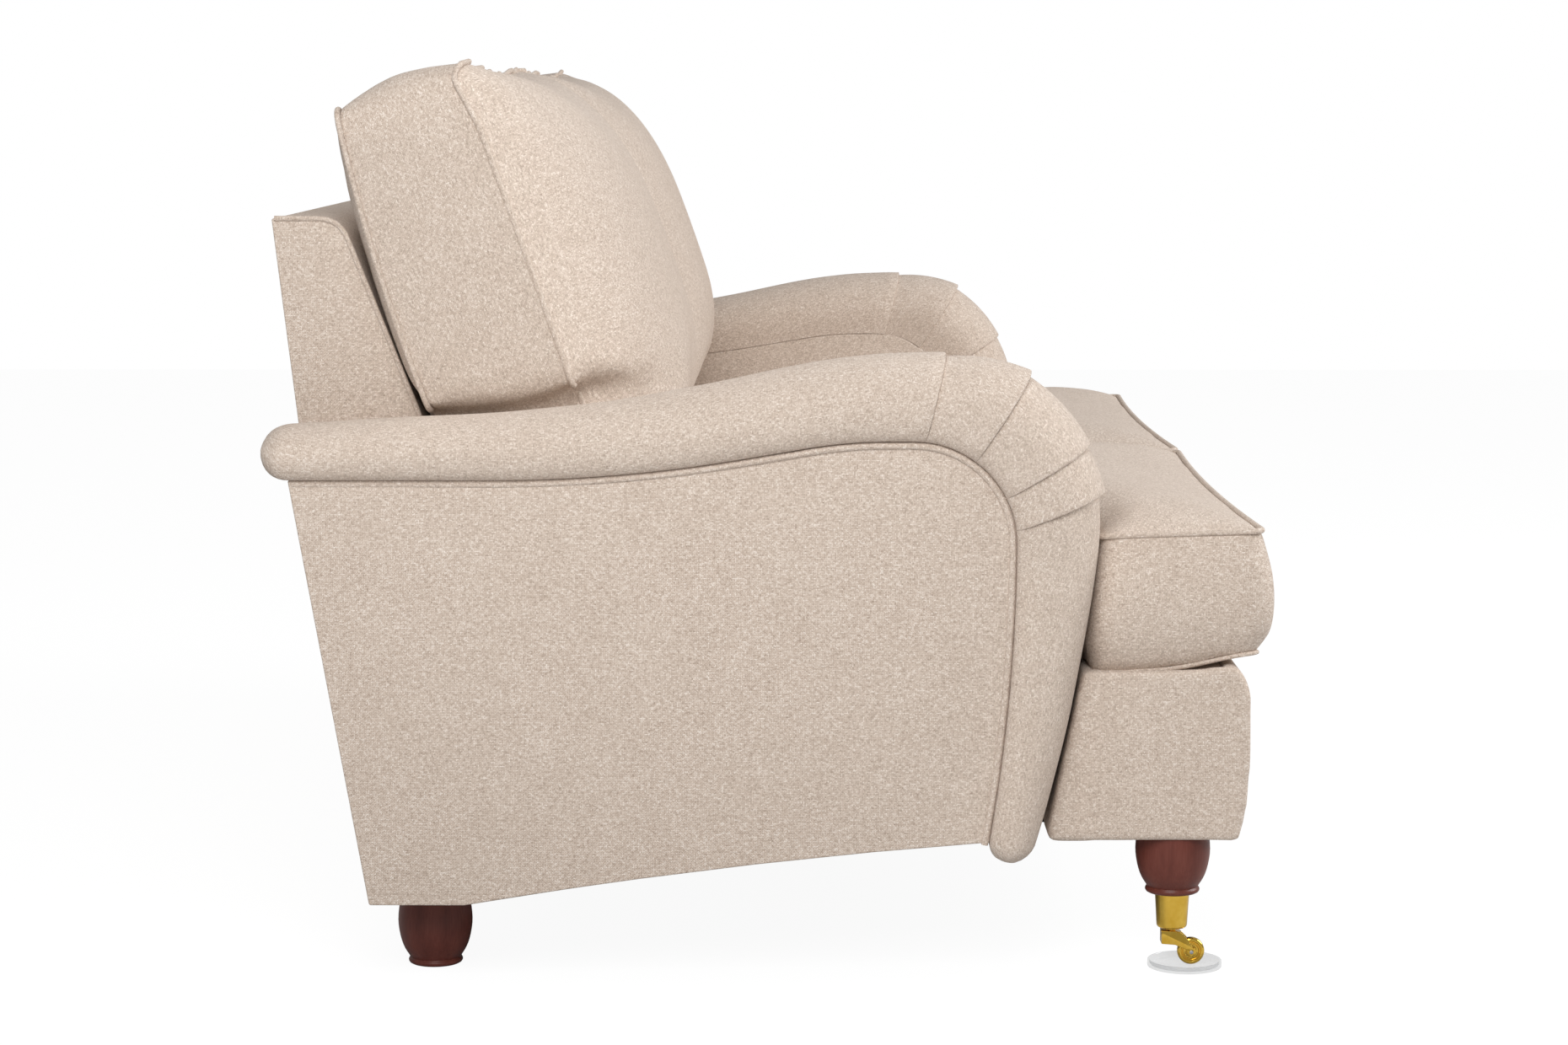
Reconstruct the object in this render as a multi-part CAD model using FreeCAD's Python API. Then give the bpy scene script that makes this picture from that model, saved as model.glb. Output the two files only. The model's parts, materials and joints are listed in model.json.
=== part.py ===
"""English roll arm sofa, two seats wide.

Millimetres. The front faces -Y, +Z is up, and the origin is on the floor under the middle.
Side shapes are drawn once for the right-hand side (+X) and mirrored for the left.
"""
import FreeCAD, Part
import math
import os
from FreeCAD import Placement, Rotation
from FreeCAD import Vector as V

# Overall
sofa_width = 1700.0
running_gap = 0.3          # between a loose piece and what carries it

# Arm, across the sofa
arm_width = 130.0          # across the rolled top
roll_overhang = 12.0       # roll beyond the outer panel
outer_panel_wall = 5.0
arm_ply = 18.0
arm_pad = 25.0             # padding on the inner face
arm_post_width = 52.0
arm_post_depth = 30.0
spacer_size = 45.0         # blocks between the arm's plywood sides
spacer_rise = 60.0         # lower row over the front's underside

# Arm, seen from the side: the welt line under the roll, from the rear to the foot of the front
welt_rear_y = 459.0
welt_rear_z = 491.0
welt_flat = 190.0
welt_hollow_radius = 1456.0
welt_climb = 9.5           # degrees
welt_ramp = 67.0
welt_shoulder_radius = 450.0
welt_crest = 24.0
welt_front_radius = 99.0
front_sweep_radius = 1700.0
front_sweep = 9.65         # degrees
arm_rear_lean = 9.9        # degrees

# Roll height above the welt line, and the pleats that turn it over the front
roll_rise_rear = 49.0
roll_lip = 14.0
roll_tail = 32.0           # roll beyond the arm's rear edge
pleat_turn = (6.0, 36.0, 62.5, 81.4)      # where each pleat starts on the front bend, degrees
pleat_lean = (14.4, 34.0, 60.3, 69.7)     # direction of each pleat's edge from upright, degrees
pleat_rise = (84.5, 100.0, 96.5, 94.5)    # roll height along each pleat's edge
pleat_tuck = (4.0, 6.0, 4.0, 7.0)         # how far the next pleat starts below the edge
front_rise_top = 84.0
front_rise_foot = 62.0
front_foot_end = 20.0      # rounded end below the welt line

# Underside
arch_rear_z = 79.0
arch_rear_flat = 92.0
arch_front_z = 141.0
arch_rise = 6.0
cover_hem = 2.0            # covers hang this far below the timber

# Back
back_rear_lean = 6.6       # degrees, above the arms
back_height = 735.0
back_front_lean = 21.5     # degrees
back_foot_y = 249.25       # the inside back's face at the deck
back_top_round = 22.0
back_pad = 20.0
back_cover_wall = 5.0
back_post_width = 28.0
back_top_padding = 12.0    # over the top rail
top_rail_height = 32.0
lower_rail_height = 62.0
post_leg_top = 85.0        # depth of the outer posts' legs, at the deck and at their feet
post_leg_foot = 55.0
post_leg_z = 100.0
end_panel_tuck = 40.0      # the back's end panel runs this far down behind the arm's pad

# Front base, which reaches round in front of the arms
base_inset = 55.0          # base's side from the sofa's side
base_bottom_z = 136.0
base_top_z = 299.0
base_front_y = -466.0
base_front_lean_in = 17.0
base_top_round = 15.0
base_bulge = 3.5           # of the front band's lower half
ear_gap = 4.0              # between the base's ear and the arm's front
ear_wall = 14.0

# Seat platform
seat_pitch = 2.0           # degrees, higher at the front
deck_y = -396.0
deck_z = 299.0
deck_pad = 12.0
webbing = 2.0
webbing_width = 60.0
long_webs = 8
cross_webs = 4
rail_wall = 28.0
rail_height = 96.0
centre_rail_height = 70.0
front_rail_y = -440.0
cross_rail_y = 216.0
dust_cloth = 1.5

# Seat cushions, T-shaped
seat_split = 7.0           # inner seam from the middle of the sofa
seat_side_clear = 8.0      # side seam from the arm
seat_ear_inset = 9.0       # ear's side seam from the base's side
seat_front_y = -482.3
seat_rear_clear = 3.0      # from the inside back
seat_ear_clear = 3.0
seat_boxing = 128.0
seat_swell = 11.0          # boxing beyond the front seams
seat_side_swell = 6.0
seat_crown = 36.0
seat_crown_reach = 112.0   # from the seam to the top's level middle
seat_edge_tuck = 12.0      # lower edge drawn in under the seam
seat_seam_tuck = 4.0
seat_draw_in = 0.011       # seams pull in by this share of their length
ear_tuck = 40.0            # most that the crown draws the ear's rear seam in

# Back cushions, which reach over the arms at their outer corners
back_cushion_lean = 19.5   # degrees
back_cushion_split = 7.0
back_wing_reach = 31.0     # over the arm, from its inner face
back_wing_clear = 1.0
back_boxing = 130.0
back_rest_clear = 3.69     # behind the cushion, where it meets the seat
back_pinch_lift = 11.0     # front seam's lower corner over the arm
back_rest_inset = 24.0     # rests on the seat cushion this far ahead of its rear edge
back_rest_rise = 0.412     # share of the seat's crown reached there
back_top_u = 933.0         # top seam along the cushion's own height
back_crown = 111.0
back_rear_crown = 12.0
back_swell = 6.0
back_top_swell = 15.0
back_edge_tuck = 4.0
back_rear_inset = 90.0     # from the rear seam to the level part of the rear face
back_crown_top = 190.0     # from the front seam to the crown's level middle, at the top,
back_crown_bottom = 140.0  # the bottom
back_crown_side = 250.0    # and the sides
back_draw_in = 0.014

# Turned feet
foot_radius = 36.7
foot_waist_radius = 25.6
foot_bead_radius = 26.8
foot_base_radius = 24.0
foot_top_radius = 33.5
foot_bead = 7.0
foot_belly = 42.0          # height of the widest ring
front_leg_inset = 40.0     # from the base's side
front_leg_y = -395.0
front_leg_bead_z = 69.0
rear_foot_reach = 20.0     # from the arm's inner face
rear_foot_y = 333.0
bolt_radius = 4.0
bolt_clearance = 0.05
bolt_grip = 40.0           # length in the foot and in the block
block_margin = 4.0         # block beyond the foot's top
rear_block_top = 180.0
leg_room_clear = 1.0       # hole for the foot in the covers over the foot's top

# Castors
ferrule_top_radius = 16.5
ferrule_foot_radius = 15.0
ferrule_foot_z = 37.0
ferrule_wall = 1.8
ferrule_bevel = 2.0
spigot_length = 22.0
stem_radius = 4.0
stem_length = 9.0
stem_clearance = 0.06
fork_gap = 0.4
trail = 19.0
wheel_radius = 13.4
wheel_width = 10.0
wheel_side_clear = 0.8
hub_radius = 4.8
hub_step = 1.0
axle_radius = 2.0
axle_clearance = 0.06
axle_proud = 0.8
cheek = 2.6
cup_radius = 36.5
cup_height = 7.0
cup_floor = 2.0
cup_wall = 2.4
cup_offset = 13.0          # cup centre ahead of the leg

arm_outer_x = sofa_width / 2
arm_inner_x = arm_outer_x - arm_width
panel_x = arm_outer_x - roll_overhang
outer_ply_x = panel_x - outer_panel_wall
inner_ply_x = arm_inner_x + arm_pad
base_x = arm_outer_x - base_inset
ear_x = base_x - ear_wall
timber_z = base_bottom_z + cover_hem
seat_ear_x = base_x - seat_ear_inset
back_wing_x = arm_inner_x + back_wing_reach
front_leg_x = base_x - front_leg_inset
rear_foot_x = arm_inner_x + rear_foot_reach
beyond = 2 * sofa_width    # past every piece, for cutting


def tan(degrees):
    return math.tan(math.radians(degrees))


def box(x0, x1, y0, y1, z0, z1):
    return Part.makeBox(x1 - x0, y1 - y0, z1 - z0, V(x0, y0, z0))


def line(start, end):
    return Part.LineSegment(start, end).toShape()


def arc(start, middle, end):
    return Part.Arc(start, middle, end).toShape()


def side_profile(points, x=0.0):
    """Closed wire in the Y-Z plane; a point marked 'via' is the middle of an arc."""
    edges = []
    start = V(x, *points[0])
    middle = None
    for entry in list(points[1:]) + [points[0]]:
        if entry[0] == "via":
            middle = V(x, *entry[1:])
            continue
        end = V(x, *entry)
        edges.append(arc(start, middle, end) if middle else line(start, end))
        start, middle = end, None
    return edges


def prism(edges, x0, x1):
    """Extrudes a closed side profile drawn at x = 0 from x0 to x1."""
    solid = Part.Face(Part.Wire(edges)).extrude(V(x1 - x0, 0, 0))
    solid.translate(V(x0, 0, 0))
    return solid


def mirrored(shape):
    return shape.mirror(V(0, 0, 0), V(1, 0, 0))


def save(name, *shapes):
    shape = shapes[0] if len(shapes) == 1 else Part.Compound(list(shapes))
    if len(shape.Solids) == 1:
        shape = shape.Solids[0]
    shape.exportStep("parts/" + name + ".step")


def both(shape):
    return shape, mirrored(shape)


def save_pair(name, shape):
    save(name + "_right", shape)
    save(name + "_left", mirrored(shape))


def on_deck(shape):
    """Tilts a shape drawn on a level deck at z = 0 to the seat's pitch and place."""
    tilted = shape.copy()
    tilted.Placement = Placement(V(0, deck_y, deck_z), Rotation(V(1, 0, 0), -seat_pitch))
    return tilted


def deck_height(y):
    return deck_z + (deck_y - y) * tan(seat_pitch)


class Track:
    """A smooth run of straights and bends in the Y-Z plane, measured by its length."""

    def __init__(self, y, z, heading):
        self.runs = []
        self.end = (y, z, math.radians(heading))
        self.length = 0.0

    def straight(self, length):
        return self.add(length, 0.0)

    def bend(self, radius, degrees):
        return self.add(radius * math.radians(abs(degrees)), math.copysign(1 / radius, degrees))

    def add(self, length, curve):
        self.runs.append((self.length, length, curve) + self.end)
        self.length += length
        self.end = self.at(self.length)
        return self

    def at(self, s):
        """The point and the heading at a length; below zero the first run goes on backwards."""
        start, length, curve, y, z, heading = self.runs[0]
        for run in self.runs:
            if s > run[0]:
                start, length, curve, y, z, heading = run
        reach = s - start
        if not curve:
            return y + reach * math.cos(heading), z + reach * math.sin(heading), heading
        turned = heading + curve * reach
        return (
            y + (math.sin(turned) - math.sin(heading)) / curve,
            z - (math.cos(turned) - math.cos(heading)) / curve,
            turned,
        )

    def edges(self):
        made = []
        for start, length, curve, y, z, heading in self.runs:
            ends = [V(0, *self.at(start + length * share)[:2]) for share in (0.0, 0.5, 1.0)]
            made.append(arc(*ends) if curve else line(ends[0], ends[2]))
        return made


welt = Track(welt_rear_y, welt_rear_z, 180)
welt.straight(welt_flat).bend(welt_hollow_radius, -welt_climb).straight(welt_ramp)
welt.bend(welt_shoulder_radius, welt_climb).straight(welt_crest)
bend_start = welt.length
welt.bend(welt_front_radius, 90)
bend_end = welt.length
welt.bend(front_sweep_radius, front_sweep)
pleat_s = [bend_start + welt_front_radius * math.radians(turn) for turn in pleat_turn]


def rear_y(z):
    """The sofa's rear face."""
    if z <= welt_rear_z:
        return welt_rear_y - (welt_rear_z - z) * tan(arm_rear_lean)
    return welt_rear_y + (z - welt_rear_z) * tan(back_rear_lean)


def inside_back_y(z):
    """The padded face that the back cushions lean on."""
    return back_foot_y + (z - deck_z) * tan(back_front_lean)


def normal_lean(s):
    return math.degrees(welt.at(s)[2]) - 180.0


def roll_rise(s):
    """Roll height from the tail to the first pleat."""
    return roll_rise_rear + (pleat_rise[0] - roll_rise_rear) * max(s, 0) / pleat_s[0]


def front_rise(s):
    share = (s - bend_end) / (welt.length - bend_end)
    return front_rise_top + (front_rise_foot - front_rise_top) * share


def roll_section(s, lean, rise, low=0.0, high=0.0, side=0.0):
    """Roll outline across the arm: flat on the welt line, lipped outside, half round on top."""
    y, z, heading = welt.at(s)
    up_y, up_z = -math.sin(math.radians(lean)), math.cos(math.radians(lean))

    def at(x, out):
        return V(x, y + up_y * out, z + up_z * out)

    inner, outer, welt_x = arm_inner_x + side, arm_outer_x - side, panel_x - side
    top, bottom = rise - high, low
    centre = (inner + outer) / 2
    half = (outer - inner) / 2
    lip = bottom + min(roll_lip, (top - bottom) * 0.3)
    dome = min(top - lip - 1.0, half)
    spring = top - dome
    middle = at(centre, spring)
    upward = V(0, up_y, up_z)
    if dome < half - 0.01:
        dome_curve = Part.Ellipse(at(outer, spring), middle + upward * dome, middle)
    else:
        dome_curve = Part.Circle(middle, V(1, 0, 0).cross(upward), half)
        dome_curve.XAxis = V(1, 0, 0)
    quarter = math.pi / 2
    return Part.Wire([
        line(at(inner, bottom), at(welt_x, bottom)),
        line(at(welt_x, bottom), at(outer, lip)),
        line(at(outer, lip), at(outer, spring)),
        Part.Arc(dome_curve, 0, quarter).toShape(),
        Part.Arc(dome_curve, quarter, math.pi).toShape(),
        line(at(inner, spring), at(inner, bottom)),
    ])


def between(start, end, count):
    return [start + (end - start) * i / count for i in range(1, count)]


def roll_rear():
    """The long roll with its rounded tail, up to the first pleat's edge."""
    sections = [
        roll_section(-roll_tail, 0, roll_rise_rear, low=23, high=13, side=19),
        roll_section(-roll_tail * 0.75, 0, roll_rise_rear, low=10, high=4.5, side=8),
    ]
    stops = [0.0] + between(0.0, welt_flat, 2) + [welt_flat]
    stops += between(welt_flat, bend_start, 5) + [bend_start]
    for s in stops:
        blend = max(0.0, s - welt_flat) / (pleat_s[0] - welt_flat)
        lean = normal_lean(s) * (1 - blend) + pleat_lean[0] * blend ** 3
        sections.append(roll_section(s, lean, roll_rise(s)))
    sections.append(roll_section(pleat_s[0], pleat_lean[0], pleat_rise[0]))
    return Part.makeLoft(sections, True, True)


def pleat(index):
    """One folded wedge of the roll, tucked under the edge behind it."""
    ends = [pleat_s[index], pleat_s[index + 1]]
    leans = [pleat_lean[index], pleat_lean[index + 1]]
    rises = [pleat_rise[index] - pleat_tuck[index], pleat_rise[index + 1]]
    steps = 1 + round((leans[1] - leans[0]) / 13)
    sections = []
    for i in range(steps + 1):
        share = i / steps
        s, lean, rise = (pair[0] + (pair[1] - pair[0]) * share for pair in (ends, leans, rises))
        sections.append(roll_section(s, lean, rise))
    return Part.makeLoft(sections, True, True)


def arm_front():
    """The arm's upright front, from the last pleat to its rounded foot."""
    first = pleat_s[-1]
    sections = [roll_section(first, pleat_lean[-1], pleat_rise[-1] - pleat_tuck[-1])]
    settle = bend_end + 25.0
    for s in between(first, settle, 2) + [settle]:
        share = (s - first) / (settle - first)
        lean = pleat_lean[-1] + (normal_lean(settle) - pleat_lean[-1]) * share
        rise = pleat_rise[-1] - pleat_tuck[-1]
        sections.append(roll_section(s, lean, rise + (front_rise(settle) - rise) * share))
    for s in between(settle, welt.length, 5) + [welt.length]:
        sections.append(roll_section(s, normal_lean(s), front_rise(s)))
    foot = welt.length
    lean = normal_lean(foot)
    sections.append(roll_section(foot + front_foot_end * 0.75, lean, front_rise_foot, 5, 5, 5))
    sections.append(roll_section(foot + front_foot_end, lean, front_rise_foot, 17, 17, 17))
    return Part.makeLoft(sections, True, True)


def arch_points(raise_by=0.0):
    """The arm's bottom edge from the front to the rear, as side profile points."""
    front_y = welt.at(welt.length)[0]
    rear = rear_y(arch_rear_z)
    flat_y = rear - arch_rear_flat
    middle = ((front_y + flat_y) / 2, (arch_front_z + arch_rear_z) / 2 + arch_rise + raise_by)
    return [
        (front_y, arch_front_z + raise_by),
        ("via",) + middle,
        (flat_y, arch_rear_z + raise_by),
        (rear_y(arch_rear_z + raise_by), arch_rear_z + raise_by),
    ]


def arm_slab(x0, x1, hem=0.0):
    """Everything under the welt line between two planes across the sofa."""
    top = welt.edges()
    end_y, end_z = welt.at(welt.length)[:2]
    points = arch_points(hem)
    path = [line(V(0, end_y, end_z), V(0, *points[0]))]
    path.append(arc(V(0, *points[0]), V(0, *points[1][1:]), V(0, *points[2])))
    path.append(line(V(0, *points[2]), V(0, *points[3])))
    path.append(line(V(0, *points[3]), V(0, welt_rear_y, welt_rear_z)))
    return prism(top + path, x0, x1)


def rear_cut(x0, x1, wall):
    """What the outer back's cover takes from the rear of the pieces in front of it."""
    low, high = 0.0, back_height + back_top_padding
    inner = [(rear_y(z) - wall, z) for z in (low, welt_rear_z, high)]
    outer = [(beyond, high), (beyond, low)]
    return prism(side_profile(inner + outer), x0, x1)


def deck_slab(x0, x1, y0, y1, top, bottom):
    """A board along the seat platform, from top down to bottom below the deck."""
    return on_deck(box(x0, x1, y0 - deck_y, y1 - deck_y, bottom, top))


def above_deck(x0, x1, depth):
    """A block of space over the plane that lies depth below the deck."""
    return deck_slab(x0, x1, -beyond, beyond, beyond, -depth)


os.makedirs("parts", exist_ok=True)

# Arm: roll and front, panels, plywood sides, post and spacers
slab = arm_slab(arm_inner_x - 1, panel_x)
post_low, post_high = welt.length - 12.0, bend_end + 10.0
spacer_x = outer_ply_x - arm_ply
post_edges = []
for s, out in ((post_low, 0), (post_high, 0), (post_high, arm_post_depth), (post_low, arm_post_depth)):
    y, z, heading = welt.at(s)
    forward = heading - math.pi / 2
    post_edges.append((y + math.cos(forward) * out, z + math.sin(forward) * out))
front_post = prism(side_profile(post_edges), spacer_x - arm_post_width, spacer_x).cut(slab)

roll = roll_rear().multiFuse([pleat(0), pleat(1), pleat(2), arm_front()])
roll = roll.cut(slab).cut(front_post)
save_pair("arm_roll", roll)
save_pair("arm_front_post", front_post)
save_pair("arm_outer_panel", arm_slab(outer_ply_x, panel_x))

support = deck_pad + webbing
side_rail_top = -support - webbing
side_front = welt.at(welt.length)[0] + 4
rail_x = inner_ply_x - rail_wall
side_rail = deck_slab(rail_x, inner_ply_x, side_front, welt_rear_y,
                      side_rail_top, side_rail_top - rail_height + webbing)
side_rail = side_rail.cut(rear_cut(0, sofa_width, back_cover_wall + rail_wall))

half_block = foot_top_radius + block_margin
rear_block = box(rear_foot_x - half_block, rear_foot_x + half_block,
                 rear_foot_y - half_block, rear_foot_y + half_block, 0, rear_block_top)
rear_block = rear_block.common(arm_slab(0, sofa_width, cover_hem)).cut(side_rail)
rear_block = rear_block.cut(rear_cut(0, sofa_width, back_cover_wall))
side_hem = arm_slab(inner_ply_x, inner_ply_x + arm_ply, cover_hem)
inner_ply = side_hem.cut(rear_cut(0, sofa_width, back_cover_wall)).cut(rear_block)
outer_ply = arm_slab(outer_ply_x - arm_ply, outer_ply_x, cover_hem)
outer_ply = outer_ply.cut(rear_cut(0, sofa_width, back_cover_wall))
save_pair("arm_inner_ply", inner_ply)
save_pair("arm_outer_ply", outer_ply)

inner_pad = arm_slab(arm_inner_x, inner_ply_x).cut(rear_cut(0, sofa_width, back_cover_wall))
inner_pad = inner_pad.common(above_deck(0, sofa_width, deck_pad))
save_pair("arm_inner_pad", inner_pad)

spacer_gap = (inner_ply_x + arm_ply, outer_ply_x - arm_ply)
arm_foot_y = welt.at(welt.length)[0]
arm_depth = welt_rear_y - arm_foot_y
under_welt = arm_slab(*spacer_gap, cover_hem).cut(rear_cut(0, sofa_width, back_cover_wall))
spacers = []
for share in (0.15, 0.45, 0.75):
    y = arm_foot_y + arm_depth * share
    tall = box(*spacer_gap, y, y + spacer_size, 0, beyond).common(under_welt)
    top_z = tall.BoundBox.ZMax
    spacers.append(tall.common(box(*spacer_gap, y, y + spacer_size, top_z - spacer_size, top_z)))
for share in (0.03, 0.36, 0.68):
    y, z = arm_foot_y + arm_depth * share, arch_front_z + spacer_rise
    spacers.append(box(*spacer_gap, y, y + spacer_size, z, z + spacer_size))
save("arm_spacer_blocks", *spacers, *[mirrored(s) for s in spacers])

# Seat box: rails, leg blocks, webbing, deck and the cloth under it
front_rail = box(-ear_x, ear_x, front_rail_y, front_rail_y + rail_wall, timber_z, base_top_z)
front_rail = front_rail.cut(above_deck(-sofa_width, sofa_width, support))
cross_rail = deck_slab(-rail_x, rail_x, cross_rail_y, cross_rail_y + rail_wall,
                       -support, -support - rail_height)
centre_rail = deck_slab(-rail_wall / 2, rail_wall / 2, front_rail_y, cross_rail_y,
                        side_rail_top, side_rail_top - centre_rail_height)
centre_rail = centre_rail.cut(box(-rail_wall, rail_wall, -beyond, front_rail_y + rail_wall, 0, base_top_z))
save("seat_front_rail", front_rail)
save("seat_cross_rail", cross_rail)
save_pair("seat_side_rail", side_rail)
save("seat_centre_rail", centre_rail)


def arm_front_edge(z, gap):
    """The foremost line of the arm's front at a height, less a gap."""
    low, high = bend_end, welt.length
    for _ in range(40):
        s = (low + high) / 2
        y, height, heading = welt.at(s)
        reach = front_rise(s)
        lean = math.radians(normal_lean(s))
        low, high = (s, high) if height + reach * math.cos(lean) > z else (low, s)
    return y - reach * math.sin(lean) - gap


ear_top_y = arm_front_edge(base_top_z, ear_gap)
ear_foot_y = arm_front_edge(base_bottom_z + 16, ear_gap)
leg_block_rear = ear_top_y - ear_wall
front_block = box(rail_x, ear_x, front_rail_y + rail_wall, leg_block_rear, timber_z,
                  base_top_z + rail_wall)
front_block = front_block.cut(above_deck(0, sofa_width, deck_pad))

leg_hole = Part.makeCylinder(bolt_radius + bolt_clearance, 2 * bolt_grip, V(0, 0, -bolt_grip))


def placed(shape, x, y, z):
    moved = shape.copy()
    moved.translate(V(x, y, z))
    return moved


front_bolt_at = (front_leg_x, front_leg_y, timber_z)
rear_bolt_at = (rear_foot_x, rear_foot_y, arch_rear_z + cover_hem)
save_pair("front_leg_block", front_block.cut(placed(leg_hole, *front_bolt_at)))
save_pair("rear_leg_block", rear_block.cut(placed(leg_hole, *rear_bolt_at)))

web_front, web_rear = front_rail_y + 4, cross_rail_y + rail_wall - 2
pitch_x = 2 * (rail_x - webbing_width) / long_webs
long_web = [
    deck_slab(x - webbing_width / 2, x + webbing_width / 2, web_front, web_rear, -deck_pad, -support)
    for x in [pitch_x * (i + 0.5 - long_webs / 2) for i in range(long_webs)]
]
save("seat_webbing_long", *long_web)
cross_start, cross_end = side_front + 10, cross_rail_y - 20
pitch_y = (cross_end - cross_start) / cross_webs
cross_web = [
    deck_slab(-inner_ply_x + 4, inner_ply_x - 4, y - webbing_width / 2, y + webbing_width / 2,
              -support, side_rail_top)
    for y in [cross_start + pitch_y * (i + 0.5) for i in range(cross_webs)]
]
save("seat_webbing_cross", *cross_web)

deck = deck_slab(-arm_inner_x, arm_inner_x, front_rail_y, inside_back_y(deck_z) + back_pad, 0, -deck_pad)
deck = deck.fuse(deck_slab(-ear_x, ear_x, front_rail_y, leg_block_rear, 0, -deck_pad))
back_space = prism(side_profile([
    (inside_back_y(0), 0), (inside_back_y(back_height), back_height), (beyond, back_height), (beyond, 0)]),
    -sofa_width, sofa_width)
deck = deck.cut(back_space).cut(box(-ear_x, ear_x, -beyond, front_rail_y, 0, beyond)).removeSplitter()
save("deck_pad", deck)

cloth_top = arch_points(cover_hem)
front_y = cloth_top[0][0]
rail_foot = rear_y(arch_rear_z) - back_cover_wall
arch_sheet = prism(side_profile([
    cloth_top[0], cloth_top[1], cloth_top[2],
    (rail_foot, cloth_top[2][1]), (rail_foot, cloth_top[2][1] - dust_cloth),
    (cloth_top[2][0], cloth_top[2][1] - dust_cloth),
    ("via", cloth_top[1][1], cloth_top[1][2] - dust_cloth), (front_y, cloth_top[0][1] - dust_cloth),
]), -outer_ply_x, outer_ply_x)
level_sheet = box(-arm_inner_x + 1, arm_inner_x - 1, front_rail_y, front_y, timber_z - dust_cloth, timber_z)
level_sheet = level_sheet.fuse(
    box(-ear_x, ear_x, front_rail_y, leg_block_rear, timber_z - dust_cloth, timber_z))
riser = box(-arm_inner_x + 1, arm_inner_x - 1, front_y - dust_cloth, front_y, timber_z - dust_cloth,
            cloth_top[0][1])
cloth = arch_sheet.multiFuse([level_sheet, riser]).removeSplitter()
foot_room = foot_top_radius + leg_room_clear
for side in (-1, 1):
    for x, y in ((front_leg_x, front_leg_y), (rear_foot_x, rear_foot_y)):
        centre_x = side * x
        cloth = cloth.cut(box(centre_x - foot_room, centre_x + foot_room, y - foot_room, y + foot_room,
                              0, base_top_z))
save("dust_cloth", cloth)

# Front base: its front band, and the ears' side and rear walls
base_side = [
    (base_front_y + base_front_lean_in, base_bottom_z),
    ("via", base_front_y + base_bulge, base_bottom_z + 45),
    (base_front_y, base_bottom_z + 95),
    (base_front_y + 1, base_top_z - base_top_round - 20),
    ("via", base_front_y + 5, base_top_z - base_top_round + 4),
    (base_front_y + base_top_round, base_top_z + 1.5),
]
front_face = base_side + [(front_rail_y, deck_height(front_rail_y)), (front_rail_y, base_bottom_z)]
save("front_base_cover", prism(side_profile(front_face), -base_x, base_x))
ear_side = side_profile([
    (front_rail_y, base_bottom_z), (front_rail_y, deck_height(front_rail_y)),
    (ear_top_y, deck_height(ear_top_y)), (ear_foot_y, base_bottom_z)])
ear = prism(ear_side, arm_inner_x, base_x)
ear = ear.cut(box(0, ear_x, front_rail_y - 1, leg_block_rear, 0, beyond))
ear = ear.cut(box(0, ear_x, front_rail_y - 1, 0, 0, timber_z))
ear = ear.cut(box(front_leg_x - foot_room, front_leg_x + foot_room,
                  front_leg_y - foot_room, front_leg_y + foot_room, 0, timber_z))
save_pair("base_ear_cover", ear)

# Back: posts, rails and webbing inside, padding, panels and covers outside
post_x = arm_inner_x - back_cover_wall


def back_profile(front, rear, low, high):
    """Side profile of the back, pulled in at the front and the rear, between two heights."""
    levels = [high, welt_rear_z, low] if low < welt_rear_z else [high, low]
    face = [(inside_back_y(z) + front, z) for z in (low, high)]
    return side_profile(face + [(rear_y(z) - rear, z) for z in levels])


frame_top = back_height - back_top_padding
rail_foot_y = back_foot_y + 2 * back_pad
deck_back = deck_height(rail_foot_y) - deck_pad
post_profile = back_profile(back_pad, back_cover_wall, deck_back, frame_top)
post_leg = prism(side_profile([
    (rear_y(deck_back) - back_cover_wall - post_leg_top, deck_back),
    (rear_y(deck_back) - back_cover_wall, deck_back),
    (rear_y(post_leg_z) - back_cover_wall, post_leg_z),
    (rear_y(post_leg_z) - back_cover_wall - post_leg_foot, post_leg_z)]), post_x - back_post_width, post_x)
outer_post = prism(post_profile, post_x - back_post_width, post_x).fuse(post_leg).removeSplitter()
outer_post = outer_post.cut(rear_block)
centre_post = prism(post_profile, -back_post_width / 2, back_post_width / 2)
top_rail_low = frame_top - top_rail_height
lower_rail_low = deck_height(rail_foot_y)
lower_rail_high = lower_rail_low + lower_rail_height
rail_span = post_x - back_post_width


def halves(profile):
    """A rail in two lengths, between the centre post and the outer posts."""
    half = prism(profile, back_post_width / 2, rail_span)
    return half, mirrored(half)


top_rails = halves(back_profile(back_pad, back_cover_wall, top_rail_low, frame_top))
lower_front = side_profile([
    (inside_back_y(lower_rail_low) + back_pad, lower_rail_low),
    (inside_back_y(lower_rail_high) + back_pad, lower_rail_high),
    (inside_back_y(lower_rail_high) + back_pad + rail_wall, lower_rail_high),
    (inside_back_y(lower_rail_low) + back_pad + rail_wall, lower_rail_low)])
lower_rails = halves(lower_front)
save_pair("back_post", outer_post)
save("back_centre_post", centre_post)
save("back_top_rail", *top_rails)
save("back_lower_rail", *lower_rails)

hem_z = arch_rear_z + cover_hem
seat_back_top = deck_height(rear_y(base_top_z) - back_cover_wall - rail_wall) - support
rear_board = prism(side_profile([
    (rear_y(hem_z) - back_cover_wall - rail_wall, hem_z),
    (rear_y(seat_back_top) - back_cover_wall - rail_wall, seat_back_top),
    (rear_y(seat_back_top) - back_cover_wall, seat_back_top),
    (rear_y(hem_z) - back_cover_wall, hem_z)]), -inner_ply_x, inner_ply_x)
rear_board = rear_board.cut(post_leg).cut(mirrored(post_leg))
rear_board = rear_board.cut(rear_block).cut(mirrored(rear_block))
save("seat_rear_rail", rear_board)

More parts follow.
